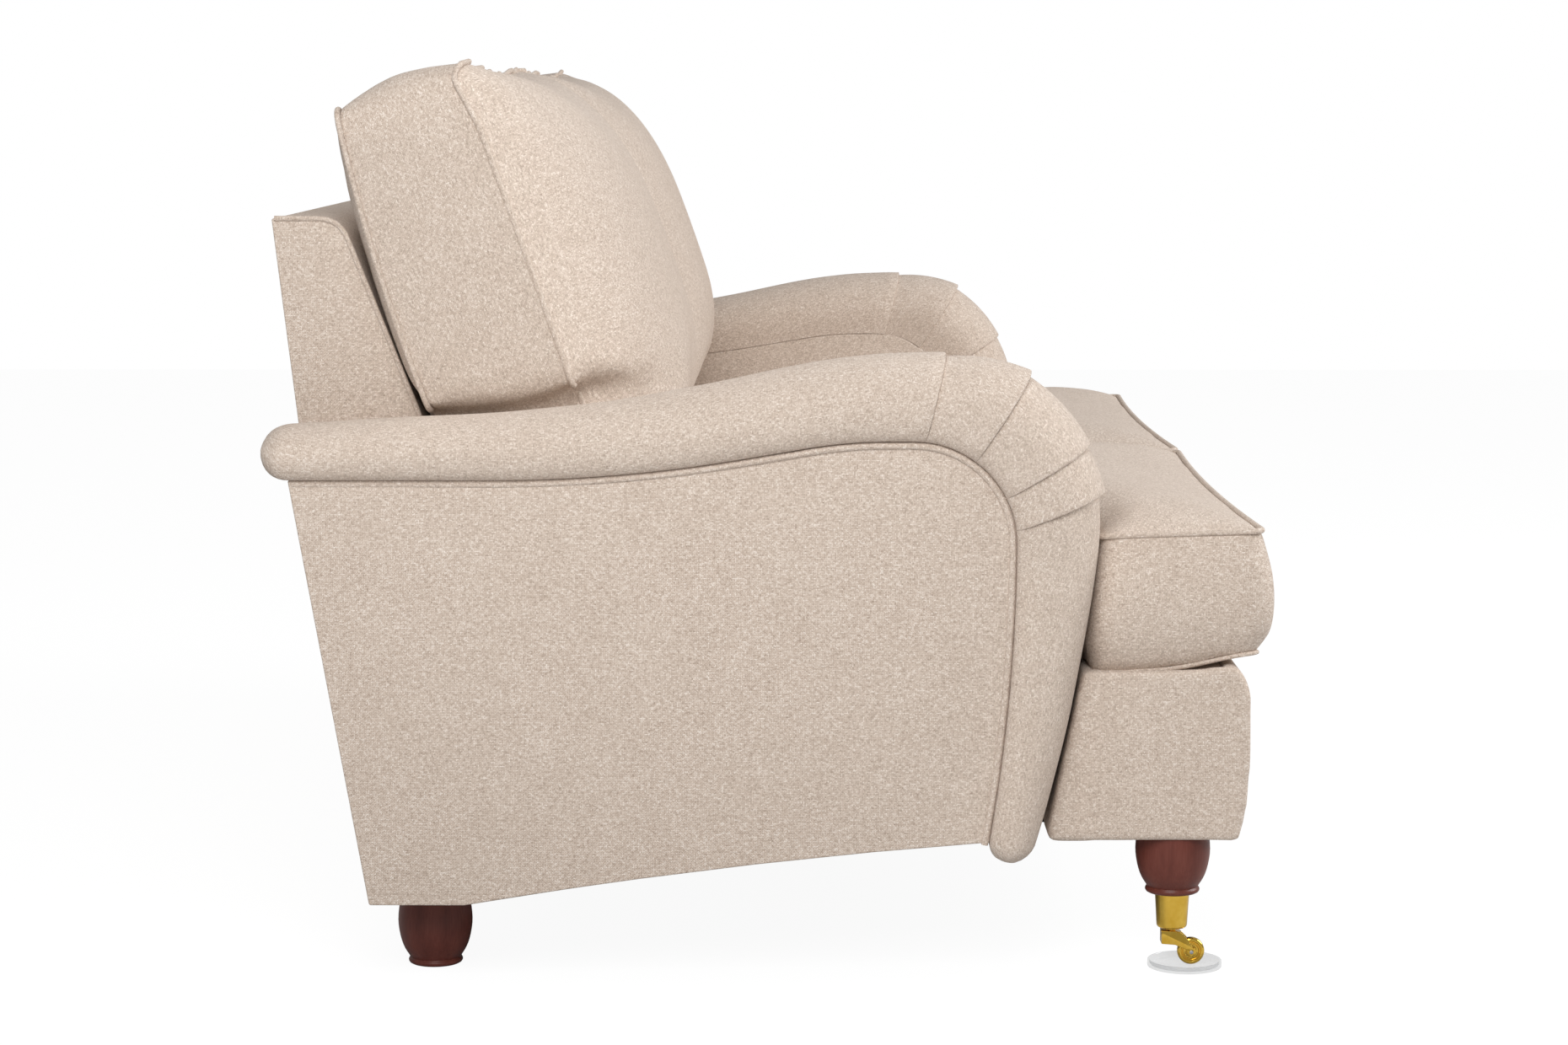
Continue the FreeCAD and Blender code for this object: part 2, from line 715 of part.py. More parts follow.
strap_low, strap_high = lower_rail_low + 6, frame_top - 4
strap = side_profile([
    (inside_back_y(strap_low) + back_pad - webbing, strap_low),
    (inside_back_y(strap_high) + back_pad - webbing, strap_high),
    (inside_back_y(strap_high) + back_pad, strap_high),
    (inside_back_y(strap_low) + back_pad, strap_low)])
strap_count = 6
strap_pitch = 2 * rail_span / strap_count
straps = [
    prism(strap, x - webbing_width / 2, x + webbing_width / 2)
    for x in [strap_pitch * (i + 0.5 - strap_count / 2) for i in range(strap_count)]
]
save("back_webbing", *straps)

top_front_z = back_height - back_top_round
top_corner = (inside_back_y(top_front_z), top_front_z)
top_front_y = inside_back_y(back_height)
corner_mid = (top_front_y + back_top_round * 0.12, back_height - back_top_round * 0.32)
top_run = (top_front_y + back_top_round, back_height)


def full_back(low):
    """Outer side profile of the back above a height, with its rounded front edge."""
    return side_profile([
        (inside_back_y(low), low), top_corner, ("via",) + corner_mid, top_run,
        (rear_y(back_height), back_height), (rear_y(max(low, welt_rear_z)), max(low, welt_rear_z))]
        + ([(rear_y(low), low)] if low < welt_rear_z else []))


pad = prism(full_back(deck_height(back_foot_y)), -post_x, post_x)
frame_space = prism(back_profile(back_pad, -back_height, 0.0, frame_top), -sofa_width, sofa_width)
pad = pad.cut(frame_space).cut(rear_cut(-sofa_width, sofa_width, back_cover_wall))
for piece in straps:
    pad = pad.cut(piece)
save("inside_back_pad", pad)
save_pair("back_end_panel", prism(full_back(welt_rear_z - end_panel_tuck), post_x, arm_inner_x))

strip = side_profile([
    (rear_y(arch_rear_z), arch_rear_z), (rear_y(arch_rear_z) - back_cover_wall, arch_rear_z),
    (rear_y(welt_rear_z) - back_cover_wall, welt_rear_z),
    (rear_y(back_height) - back_cover_wall, back_height),
    (rear_y(back_height), back_height), (rear_y(welt_rear_z), welt_rear_z)])
outer_back = prism(strip, -outer_ply_x, outer_ply_x)
over_arm = box(arm_inner_x, sofa_width, 0, beyond, welt_rear_z, beyond)
end_panel_space = box(post_x, arm_inner_x, 0, beyond, welt_rear_z - end_panel_tuck, beyond)
for cutter in (over_arm, end_panel_space):
    outer_back = outer_back.cut(cutter).cut(mirrored(cutter))
save("outer_back_panel", outer_back)


def crest_z(y):
    """Height of the arm roll's crest at a distance along the sofa's depth."""
    low, high = 0.0, pleat_s[0]
    for _ in range(40):
        s = (low + high) / 2
        low, high = (s, high) if welt.at(s)[0] > y else (low, s)
    return welt.at(s)[1] + roll_rise(s)


# Cushions: closed forms with drawn-in seams, swollen boxing and crowned faces
def seam_points(corners, draw_in, height):
    """Closed outline; each side bows in, at its middle by draw_in times its length."""
    points = []
    for i, (x, y) in enumerate(corners):
        next_x, next_y = corners[(i + 1) % len(corners)]
        dx, dy = next_x - x, next_y - y
        for share in (0.0, 0.22, 0.5, 0.78):
            bow = 4 * draw_in * share * (1 - share)
            points.append(V(x + dx * share - dy * bow, y + dy * share + dx * bow, height))
    return points


def flat_loft(sections):
    """Loft through outlines whose sides run parallel, so that every face between two is flat."""
    rings = [points + points[:1] for points in sections]
    faces = [Part.Face(Part.makePolygon(ring)) for ring in (rings[0], rings[-1])]
    for low, high in zip(rings, rings[1:]):
        for i in range(len(low) - 1):
            faces.append(Part.Face(Part.makePolygon([low[i], low[i + 1], high[i + 1], high[i], low[i]])))
    return Part.makeSolid(Part.makeShell(faces))


def along_deck(y, height):
    """A world Y at a height above the deck, measured along the deck."""
    return (y - deck_y) / math.cos(math.radians(seat_pitch)) - height * tan(seat_pitch)


seat_rear = inside_back_y(deck_height(inside_back_y(deck_z))) - seat_rear_clear


def seat_outline(front, side, height):
    """T-cushion outline, pushed out at the front and the ear, and at the hidden sides."""
    ear_edge = arm_front_edge(deck_height(ear_top_y) + height, seat_ear_clear)
    ear_rear = along_deck(ear_edge, height) + max(min(side, 0.0), -ear_tuck)
    body = arm_inner_x - seat_side_clear + side
    inner = seat_split - side
    nose = seat_front_y - front - deck_y
    rear = along_deck(seat_rear, 0.0) + min(side, 0.0)
    return [
        (inner, nose), (seat_ear_x + front, nose), (seat_ear_x + front, ear_rear),
        (body, ear_rear), (body, rear), (inner, rear),
    ]


seat_levels = [(running_gap, -seat_edge_tuck, -seat_edge_tuck)]
for share, front, side in ((0.0625, 0.0, 0.0), (0.31, 0.8, 0.6), (0.515, 1.0, 1.0), (0.765, 0.7, 0.6)):
    seat_levels.append((seat_boxing * share, seat_swell * front, seat_side_swell * side))
seat_levels.append((seat_boxing, -seat_seam_tuck, -0.25 * seat_seam_tuck))
for share, front, side in ((0.38, 0.232, 0.214), (0.75, 0.554, 0.536), (1.0, 1.0, 1.0)):
    level = seat_boxing + seat_crown * share
    seat_levels.append((level, -seat_crown_reach * front, -seat_crown_reach * side))
seat_sections = [
    seam_points(seat_outline(front, side, height), seat_draw_in, height)
    for height, front, side in seat_levels
]
seat_cushion = on_deck(flat_loft(seat_sections))
save_pair("seat_cushion", seat_cushion)

lean = math.radians(back_cushion_lean)
lean_sin, lean_cos = math.sin(lean), math.cos(lean)
seat_top = deck_height(seat_rear - back_rest_inset) + seat_boxing + back_rest_rise * seat_crown
rear_face = seat_top * lean_sin - inside_back_y(seat_top) * lean_cos + back_rest_clear
rear_seam = rear_face + back_rear_crown
front_seam = rear_seam + back_boxing
back_seat_u = (seat_top + 2 * running_gap - (front_seam + rear_seam) / 2 * lean_sin) / lean_cos


def wing_bottom(n):
    """Where the wing's lower edge clears the arm's crest, along the cushion's height."""
    low, high = back_seat_u, back_top_u
    for _ in range(40):
        u = (low + high) / 2
        y, z = u * lean_sin - n * lean_cos, u * lean_cos + n * lean_sin
        low, high = (u, high) if z < crest_z(y) + back_wing_clear else (low, u)
    return u


def back_outline(n, top, bottom, side):
    """Back cushion outline at a distance n along its normal, pulled in at its edges."""
    wing, body = back_wing_x - side, arm_inner_x - seat_side_clear + 1 - side
    forward = min(max(0.0, (n - rear_seam) / back_boxing), 1.0)
    notch = wing_bottom(n) + max(bottom, 0.0) + back_pinch_lift * forward ** 3
    return [
        (back_cushion_split + side, back_seat_u + bottom), (body, back_seat_u + bottom), (body, notch),
        (wing, notch), (wing, back_top_u - top), (back_cushion_split + side, back_top_u - top),
    ]


def crown_inset(share):
    """How far in a rounded crown has come at a share of its height."""
    return 1 - math.sqrt(1 - share ** 2)


back_levels = [
    (rear_face, back_rear_inset, 0.67 * back_rear_inset, back_rear_inset),
    (rear_face + 0.4 * back_rear_crown, 0.44 * back_rear_inset, 0.28 * back_rear_inset,
     0.44 * back_rear_inset),
    (rear_seam, 0.0, back_edge_tuck, 0.0),
]
for share, top, side in ((0.25, 0.6, 0.7), (0.5, 1.0, 1.0), (0.78, 0.53, 0.6)):
    level = rear_seam + back_boxing * share
    back_levels.append((level, -back_top_swell * top, 0.0, -back_swell * side))
back_levels.append((front_seam, 0.0, 0.5 * back_edge_tuck, 0.0))
for share in (0.24, 0.45, 0.68, 0.87, 1.0):
    inset = crown_inset(share)
    bottom = back_edge_tuck + back_crown_bottom * inset
    level = front_seam + back_crown * share
    back_levels.append((level, back_crown_top * inset, bottom, back_crown_side * inset))
back_sections = [
    seam_points(back_outline(n, top, bottom, side), back_draw_in, n)
    for n, top, bottom, side in back_levels
]
back_cushion = flat_loft(back_sections)
back_cushion.Placement = Placement(V(0, 0, 0), Rotation(V(1, 0, 0), 90 - back_cushion_lean))
save_pair("back_cushion", back_cushion)


# Turned feet and castors
def turning(points):
    """Solid turned about the upright axis from a half outline of (radius, height) points."""
    edges = []
    start = V(points[0][0], 0, points[0][1])
    middle = None
    for entry in points[1:] + points[:1]:
        if entry[0] == "via":
            middle = V(entry[1], 0, entry[2])
            continue
        end = V(entry[0], 0, entry[1])
        edges.append(Part.Arc(start, middle, end).toBSpline().toShape() if middle else line(start, end))
        start, middle = end, None
    return Part.Face(Part.Wire(edges)).revolve(V(0, 0, 0), V(0, 0, 1), 360)


def turned_foot(bottom_z, top_z):
    """A bead, a waist and a swelling bun."""
    belly_z = bottom_z + foot_belly
    return turning([
        (0, bottom_z), (foot_base_radius, bottom_z),
        (foot_bead_radius, bottom_z + foot_bead * 0.3), (foot_bead_radius, bottom_z + foot_bead * 0.7),
        (foot_waist_radius, bottom_z + foot_bead),
        ("via", foot_radius - 3.0, belly_z - 18.0), (foot_radius, belly_z),
        ("via", foot_radius - 0.9, (belly_z + top_z) / 2 + 1), (foot_top_radius, top_z),
        (0, top_z),
    ])


front_leg = placed(turned_foot(front_leg_bead_z, timber_z), front_leg_x, front_leg_y, 0)
spigot_radius = ferrule_foot_radius - ferrule_wall
spigot_floor = front_leg_bead_z - spigot_length
spigot = Part.makeCylinder(spigot_radius, spigot_length, V(front_leg_x, front_leg_y, spigot_floor))
front_leg = front_leg.fuse(spigot).cut(placed(leg_hole, *front_bolt_at))
rear_foot = placed(turned_foot(0, arch_rear_z + cover_hem), rear_foot_x, rear_foot_y, 0)
rear_foot = rear_foot.cut(placed(leg_hole, *rear_bolt_at))
save("front_legs", *both(front_leg))
save("rear_feet", *both(rear_foot))
hanger = Part.makeCylinder(bolt_radius, 2 * bolt_grip - 2, V(0, 0, 1 - bolt_grip))
bolts = [placed(hanger, *front_bolt_at), placed(hanger, *rear_bolt_at)]
save("hanger_bolts", *bolts, *[mirrored(bolt) for bolt in bolts])

ferrule = turning([
    (0, ferrule_foot_z), (ferrule_foot_radius - ferrule_bevel, ferrule_foot_z),
    (ferrule_foot_radius, ferrule_foot_z + ferrule_bevel),
    (ferrule_top_radius, front_leg_bead_z), (0, front_leg_bead_z),
])
ferrule = ferrule.cut(Part.makeCylinder(spigot_radius, spigot_length, V(0, 0, spigot_floor)))
ferrule = ferrule.cut(Part.makeCylinder(stem_radius + stem_clearance, stem_length + running_gap,
                                        V(0, 0, ferrule_foot_z)))
save("castor_ferrules", *both(placed(ferrule, front_leg_x, front_leg_y, 0)))

axle_z = cup_floor + running_gap + wheel_radius
crown_z = ferrule_foot_z - fork_gap
crown_wall = 3.4
heel = 10.5
inner_half = wheel_width / 2 + wheel_side_clear
eye = 4.8
cheek_edges = side_profile([
    (heel, crown_z - 12.5), (heel, crown_z), (-3.0, crown_z), (-9.5, crown_z - 2.5), (-15.5, crown_z - 8.5),
    (-trail - 1.0, axle_z + eye), ("via", -trail - eye, axle_z), (-trail + 1.0, axle_z - eye),
    (-12.5, axle_z + 3.0), (-3.0, crown_z - 13.6)])
cheek_right = prism(cheek_edges, inner_half, inner_half + cheek)
bridge = prism(side_profile([
    (heel, crown_z - 12.5), (heel, crown_z), (-3.0, crown_z), (-9.0, crown_z - 1.4),
    (-6.0, crown_z - crown_wall - 1.2), (heel - 3.0, crown_z - crown_wall - 1.0),
    (heel - 3.0, crown_z - 12.5)]),
    -inner_half, inner_half)
wheel_room = Part.makeCylinder(wheel_radius + 0.9, 2 * inner_half, V(-inner_half, -trail, axle_z), V(1, 0, 0))
fork = cheek_right.multiFuse([mirrored(cheek_right), bridge])
fork = fork.cut(wheel_room)
stem = Part.makeCylinder(stem_radius, stem_length + fork_gap + 1.0, V(0, 0, crown_z - 1.0))
fork = fork.fuse(stem).removeSplitter()
axle_length = 2 * (inner_half + cheek)
axle_hole = Part.makeCylinder(axle_radius, axle_length, V(-axle_length / 2, -trail, axle_z), V(1, 0, 0))
fork = fork.cut(axle_hole)
axle_end = axle_length / 2 + axle_proud
axle = Part.makeCylinder(axle_radius, 2 * axle_end, V(-axle_end, -trail, axle_z), V(1, 0, 0))
save_pair("castor_fork", placed(fork, front_leg_x, front_leg_y, 0))
save_pair("castor_axle", placed(axle, front_leg_x, front_leg_y, 0))


def wheel_profile():
    """Half section of the wheel, whose hub stands proud of its sides."""
    bore = axle_radius + axle_clearance
    half = wheel_width / 2
    side = [
        (bore, half), (hub_radius, half), (hub_radius, half - hub_step), (wheel_radius, half - hub_step),
    ]
    outline = [V(-across, radius, 0) for radius, across in side]
    outline += [V(across, radius, 0) for radius, across in reversed(side)]
    return Part.Face(Part.makePolygon(outline + outline[:1]))


wheel = wheel_profile().revolve(V(0, 0, 0), V(1, 0, 0), 360)
save_pair("castor_wheel", placed(wheel, front_leg_x, front_leg_y - trail, axle_z))

cup = Part.makeCylinder(cup_radius, cup_height)
cup = cup.cut(Part.makeCylinder(cup_radius - cup_wall, cup_height, V(0, 0, cup_floor)))
save_pair("castor_cup", placed(cup, front_leg_x, front_leg_y - cup_offset, 0))
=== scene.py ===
"""Covers, cushions, piping, woods and metals of a two-seat english roll arm sofa.

Metres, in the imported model's frame: the front faces -Y and +Z is up. Side pieces are made for the
right-hand side (+X) and copied, mirrored, to the left.
"""
import json
import math

import bmesh
import bpy
import numpy as np
from mathutils import Matrix, Vector, kdtree, noise


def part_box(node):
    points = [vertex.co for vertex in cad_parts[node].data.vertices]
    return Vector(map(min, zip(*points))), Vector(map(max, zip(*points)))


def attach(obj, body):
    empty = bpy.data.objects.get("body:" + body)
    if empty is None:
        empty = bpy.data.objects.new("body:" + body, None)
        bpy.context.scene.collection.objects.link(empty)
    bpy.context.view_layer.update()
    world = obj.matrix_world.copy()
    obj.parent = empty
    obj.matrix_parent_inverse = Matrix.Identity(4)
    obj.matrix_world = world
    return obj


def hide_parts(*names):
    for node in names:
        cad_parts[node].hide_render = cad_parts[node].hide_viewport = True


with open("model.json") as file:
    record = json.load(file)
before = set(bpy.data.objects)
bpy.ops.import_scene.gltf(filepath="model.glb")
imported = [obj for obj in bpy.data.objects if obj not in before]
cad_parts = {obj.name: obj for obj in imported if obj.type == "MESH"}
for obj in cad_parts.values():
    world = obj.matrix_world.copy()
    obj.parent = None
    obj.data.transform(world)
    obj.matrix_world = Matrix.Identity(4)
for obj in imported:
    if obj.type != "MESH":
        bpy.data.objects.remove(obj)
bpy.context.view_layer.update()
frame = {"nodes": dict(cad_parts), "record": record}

mm = 0.001


# Making meshes
def deselect():
    bpy.ops.object.select_all(action="DESELECT")


def activate(piece):
    deselect()
    piece.select_set(True)
    bpy.context.view_layer.objects.active = piece


def apply_modifier(piece, kind, **settings):
    activate(piece)
    modifier = piece.modifiers.new(kind.title(), kind)
    for name, value in settings.items():
        setattr(modifier, name, value)
    bpy.ops.object.modifier_apply(modifier=modifier.name)


def smooth(piece, degrees):
    activate(piece)
    bpy.ops.object.shade_smooth_by_angle(angle=math.radians(degrees))


def read(items, name, width=3):
    values = np.empty(len(items) * width, np.float32)
    items.foreach_get(name, values)
    return values.reshape(-1, width)


def write_points(piece, points):
    piece.data.vertices.foreach_set("co", points.astype(np.float32).ravel())
    piece.data.update()


def lofted(name, rings, loop=False):
    """A circle extruded from ring to ring; loop joins its ends, otherwise they are capped."""
    count = len(rings[0])
    deselect()
    bpy.ops.mesh.primitive_circle_add(vertices=count, fill_type="NOTHING" if loop else "NGON")
    piece = bpy.context.object
    piece.name = piece.data.name = name
    bpy.ops.object.mode_set(mode="EDIT")
    orders = []
    for ring in rings:
        if orders:
            bpy.ops.mesh.extrude_region()
        mesh = bmesh.from_edit_mesh(piece.data)
        mesh.verts.index_update()
        mesh.verts.ensure_lookup_table()
        if orders:
            order = []
            for index in orders[-1]:
                ends = [edge.other_vert(mesh.verts[index]) for edge in mesh.verts[index].link_edges]
                order.append(next(end.index for end in ends if end.select))
        else:
            order = list(range(count))
        for index, point in zip(order, ring):
            mesh.verts[index].co = point
        orders.append(order)
    if loop:
        mesh.select_mode = {"VERT"}
        for vert in mesh.verts:
            vert.select = vert.index in orders[0] or vert.index in orders[-1]
        mesh.select_flush_mode()
        bmesh.update_edit_mesh(piece.data)
        bpy.ops.mesh.bridge_edge_loops()
    bpy.ops.mesh.select_all(action="SELECT")
    bpy.ops.mesh.normals_make_consistent(inside=False)
    bpy.ops.object.mode_set(mode="OBJECT")
    weave_by_rings(piece, orders)
    return piece


def weave_layer(mesh):
    return mesh.uv_layers.get("weave") or mesh.uv_layers.new(name="weave")


def weave_by_rings(piece, orders):
    """Runs the weave along and round a tube, in metres; caps get it flat."""
    mesh = piece.data
    weave_by_faces(piece)
    points = read(mesh.vertices, "co")
    grid = points[np.array(orders)]
    along = np.zeros(len(orders))
    along[1:] = np.cumsum(np.linalg.norm(np.diff(grid, axis=0), axis=2).max(1))
    steps = np.linalg.norm(np.roll(grid, -1, 1) - grid, axis=2)
    around = np.zeros((len(orders), grid.shape[1] + 1))
    around[:, 1:] = np.cumsum(steps, 1)
    ring_of = np.zeros(len(points), int)
    step_of = np.zeros(len(points), int)
    for number, order in enumerate(orders):
        ring_of[order] = number
        step_of[order] = np.arange(len(order))
    layer = weave_layer(mesh)
    for polygon in mesh.polygons:
        if polygon.loop_total != 4:
            continue
        corners = list(polygon.vertices)
        wraps = {step_of[v] for v in corners} >= {0, grid.shape[1] - 1}
        for loop, vertex in zip(polygon.loop_indices, corners):
            step = step_of[vertex] or (grid.shape[1] if wraps else 0)
            layer.data[loop].uv = (along[ring_of[vertex]], around[ring_of[vertex], step])


def weave_by_faces(piece, lean=0.0):
    """Lays the weave flat on each side of a piece, as on cut cloth, in metres."""
    mesh = piece.data
    back = np.array(Matrix.Rotation(-lean, 3, "X"))
    points = read(mesh.vertices, "co") @ back.T
    normals = read(mesh.polygons, "normal") @ back.T
    totals = read(mesh.polygons, "loop_total", 1)[:, 0].astype(int)
    vertices = np.empty(len(mesh.loops), np.int32)
    mesh.loops.foreach_get("vertex_index", vertices)
    axis = np.abs(normals).argmax(1)
    pairs = np.array([(1, 2), (0, 2), (0, 1)])[np.repeat(axis, totals)]
    places = np.take_along_axis(points[vertices], pairs, 1)
    weave_layer(mesh).data.foreach_set("uv", places.astype(np.float32).ravel())


def mirrored(piece, name):
    """A copy of a piece on the other side of the sofa."""
    copy = piece.copy()
    copy.data = piece.data.copy()
    copy.name = copy.data.name = name
    bpy.context.collection.objects.link(copy)
    copy.data.transform(Matrix.Scale(-1, 4, (1, 0, 0)))
    copy.data.flip_normals()
    return copy


def copied_node(*names, piece_name):
    """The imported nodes' meshes as one new piece, merged, with its flat faces whole."""
    deselect()
    for name in names:
        node = frame["nodes"][name]
        copy = bpy.data.objects.new(piece_name, node.data.copy())
        bpy.context.collection.objects.link(copy)
        copy.select_set(True)
        bpy.context.view_layer.objects.active = copy
    if len(names) > 1:
        bpy.ops.object.join()
    piece = bpy.context.view_layer.objects.active
    piece.name = piece.data.name = piece_name
    activate(piece)
    bpy.ops.object.mode_set(mode="EDIT")
    bpy.ops.mesh.select_all(action="SELECT")
    bpy.ops.mesh.remove_doubles(threshold=1e-6)
    bpy.ops.mesh.dissolve_limited(angle_limit=math.radians(1.0))
    bpy.ops.object.mode_set(mode="OBJECT")
    return piece


def dress(piece, body, slot, *nodes):
    piece.data.materials.clear()
    piece.data.materials.append(finishes[slot])
    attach(piece, body)
    if nodes:
        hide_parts(*nodes)


def dress_pair(piece, name, slot, *nodes, body="root", shared=(), fill=None):
    """Dresses the right-hand piece and its mirrored copy on the left."""
    piece.name = piece.data.name = name + "_right"
    for side, one in (("right", piece), ("left", mirrored(piece, name + "_left"))):
        own = body if body == "root" else body + "_" + side
        dress(one, own, slot, *[node + "_" + side for node in nodes], *shared)


# Writing materials
class Value:
    """A node's output that takes part in Python expressions."""

    def __init__(self, finish, socket):
        self.finish, self.socket = finish, socket

    def math(self, operation, *others):
        return self.finish.math(operation, self, *others)

    def __add__(self, other):
        return self.math("ADD", other)

    def __sub__(self, other):
        return self.math("SUBTRACT", other)

    def __rsub__(self, other):
        return self.finish.math("SUBTRACT", other, self)

    def __mul__(self, other):
        return self.math("MULTIPLY", other)

    def __mod__(self, other):
        return self.math("FLOORED_MODULO", other)

    __radd__ = __add__


class Finish:
    """A node material under construction round one Principled shader."""

    def __init__(self, name, **constants):
        self.material = bpy.data.materials.new(name)
        self.material.use_nodes = True
        self.tree = self.material.node_tree
        self.shader = self.tree.nodes["Principled BSDF"]
        for socket, value in constants.items():
            self.shader.inputs[socket.replace("_", " ")].default_value = value

    @classmethod
    def over(cls, tree):
        """Writes nodes into a tree that has no Principled shader."""
        finish = cls.__new__(cls)
        finish.tree = tree
        return finish

    def node(self, kind, settings=None, inputs=None, out=0):
        made = self.tree.nodes.new("ShaderNode" + kind)
        for name, value in (settings or {}).items():
            if name == "stops":
                ramp = made.color_ramp.elements
                while len(ramp) < len(value):
                    ramp.new(1.0)
                for element, (position, color) in zip(ramp, value):
                    element.position = position
                    element.color = (*color, 1.0)
            else:
                setattr(made, name, value)
        for name, value in (inputs or {}).items():
            self.join(made.inputs[name], value)
        return Value(self, made.outputs[out]) if made.outputs else None

    def join(self, socket, value):
        if isinstance(value, Value):
            self.tree.links.new(value.socket, socket)
        elif socket.type == "RGBA" and len(value) == 3:
            socket.default_value = (*value, 1.0)
        else:
            socket.default_value = value

    def math(self, operation, *values):
        return self.node("Math", {"operation": operation}, dict(enumerate(values)))

    def vector(self, *values):
        return self.node("CombineXYZ", None, dict(enumerate(values)))

    def noise(self, vector, scale=1.0, detail=2.0):
        return self.node("TexNoise", None, {"Vector": vector, "Scale": scale, "Detail": detail})

    def ramp(self, value, *stops):
        return self.node("ValToRGB", {"stops": stops}, {0: value})

    def done(self, height=None, distance=1.0, strength=1.0, **links):
        for socket, value in links.items():
            self.join(self.shader.inputs[socket.replace("_", " ")], value)
        if height is not None:
            relief = {"Height": height, "Distance": distance, "Strength": strength}
            bump = self.node("Bump", None, relief)
            self.join(self.shader.inputs["Normal"], bump)
        return self.material


def separate(finish, vector):
    split = finish.node("SeparateXYZ", None, {0: vector})
    return [Value(finish, output) for output in split.socket.node.outputs]


def object_place(finish):
    """Coordinates in metres that stay with the piece."""
    return finish.node("TexCoord", None, None, out=3)


def linen():
    """Oatmeal plain weave, each thread with its own pale and dark slubs, with painted shade between the
    threads and a painted highlight on their crowns.
    """
    thread, height_of_weave, thread_shade_middle = 1.3 * mm, 0.35 * mm, 0.66
    finish = Finish("oatmeal_linen", Roughness=0.92, Sheen_Weight=0.12, Sheen_Roughness=0.6,
                    Specular_IOR_Level=0.2)
    across, up, _ = separate(finish, finish.node("UVMap", {"uv_map": "weave"}))
    across, up = across * (1 / thread), up * (1 / thread)
    column, row = across.math("FLOOR"), up.math("FLOOR")
    over = (column + row) % 2.0
    warp = finish.noise(finish.vector(column * 3.7, up * 0.5, 0.0))
    weft = finish.noise(finish.vector(across * 0.3, row * 3.3, 40.0))
    fleck = finish.node("TexWhiteNoise", None, {"Vector": finish.vector(column, row, 0.0)})
    cloud = finish.noise(finish.vector(across, up, 7.0), scale=0.03, detail=3.0)
    tone = weft * 0.6 + warp * 0.4 + (fleck - 0.5) * 0.20 + (cloud - 0.5) * 0.07
    side = (across % 1.0) * 2.0 - 1.0
    length = (up % 1.0) * 2.0 - 1.0
    warp_height = 1.0 - side * side
    weft_height = 1.0 - length * length
    round_of_thread = weft_height + (warp_height - weft_height) * over
    # Painted shade and highlight: each thread's crown made paler and the dips between threads darker,
    # following the thread's height.
    tone = tone + (round_of_thread - thread_shade_middle) * 0.20
    color = finish.ramp(tone, (0.26, (0.42, 0.325, 0.260)), (0.42, (0.59, 0.480, 0.396)),
                        (0.57, (0.69, 0.578, 0.488)), (0.74, (0.88, 0.79, 0.71)))
    return finish.done(round_of_thread + tone * 0.8, distance=height_of_weave, strength=0.6,
                       Base_Color=color)


def turned_wood():
    """Dark red-brown stain with a fine upright grain under satin lacquer."""
    finish = Finish("red_brown_wood", Coat_Weight=0.16, Coat_Roughness=0.22, Specular_IOR_Level=0.25)
    x, y, z = separate(finish, object_place(finish))
    grain = finish.noise(finish.vector(x * 700.0, y * 700.0, z * 40.0), detail=4.0)
    figure = finish.noise(finish.vector(x * 60.0, y * 60.0, z * 12.0), detail=3.0)
    color = finish.ramp(grain * 0.35 + figure * 0.65, (0.3, (0.098, 0.0225, 0.0150)),
                        (0.5, (0.135, 0.033, 0.0220)), (0.7, (0.178, 0.049, 0.034)))
    return finish.done(grain, distance=0.03 * mm, strength=0.4, Base_Color=color,
                       Roughness=0.36 + figure * 0.16)


def brass():
    """Polished brass, a little uneven and dulled."""
    finish = Finish("polished_brass", Metallic=1.0)
    place = object_place(finish)
    film = finish.noise(place, scale=90.0, detail=4.0)
    marks = finish.noise(place, scale=1500.0, detail=2.0)
    color = finish.ramp(film, (0.3, (0.76, 0.47, 0.06)), (0.7, (0.90, 0.60, 0.11)))
    return finish.done(marks, distance=0.02 * mm, strength=0.25, Base_Color=color,
                       Roughness=0.07 + film * 0.07)


def steel():
    finish = Finish("zinc_steel", Metallic=1.0)
    place = object_place(finish)
    spangle = finish.noise(place, scale=400.0, detail=3.0)
    color = finish.ramp(spangle, (0.3, (0.45, 0.46, 0.48)), (0.7, (0.66, 0.66, 0.66)))
    return finish.done(spangle, distance=0.02 * mm, strength=0.3, Base_Color=color,
                       Roughness=0.26 + spangle * 0.2)


def clear_plastic():
    """Clear plastic with a grey tint where its walls stand one behind the other."""
    finish = Finish("clear_plastic", IOR=1.46, Specular_IOR_Level=0.6, Alpha=0.21)
    place = object_place(finish)
    ripple = finish.noise(place, scale=120.0, detail=2.0)
    color = finish.ramp(ripple, (0.3, (0.30, 0.32, 0.34)), (0.7, (0.38, 0.40, 0.42)))
    return finish.done(Base_Color=color, Roughness=0.05 + ripple * 0.05)


def sawn_timber(name, dark, pale, along):
    """Planed timber with its grain along one axis."""
    finish = Finish(name, Specular_IOR_Level=0.3)
    axes = separate(finish, object_place(finish))
    stretched = [axis * (12.0 if index == along else 160.0) for index, axis in enumerate(axes)]
    grain = finish.noise(finish.vector(*stretched), detail=5.0)
    color = finish.ramp(grain, (0.3, dark), (0.7, pale))
    return finish.done(grain, distance=0.2 * mm, strength=0.4, Base_Color=color,
                       Roughness=0.55 + grain * 0.25)


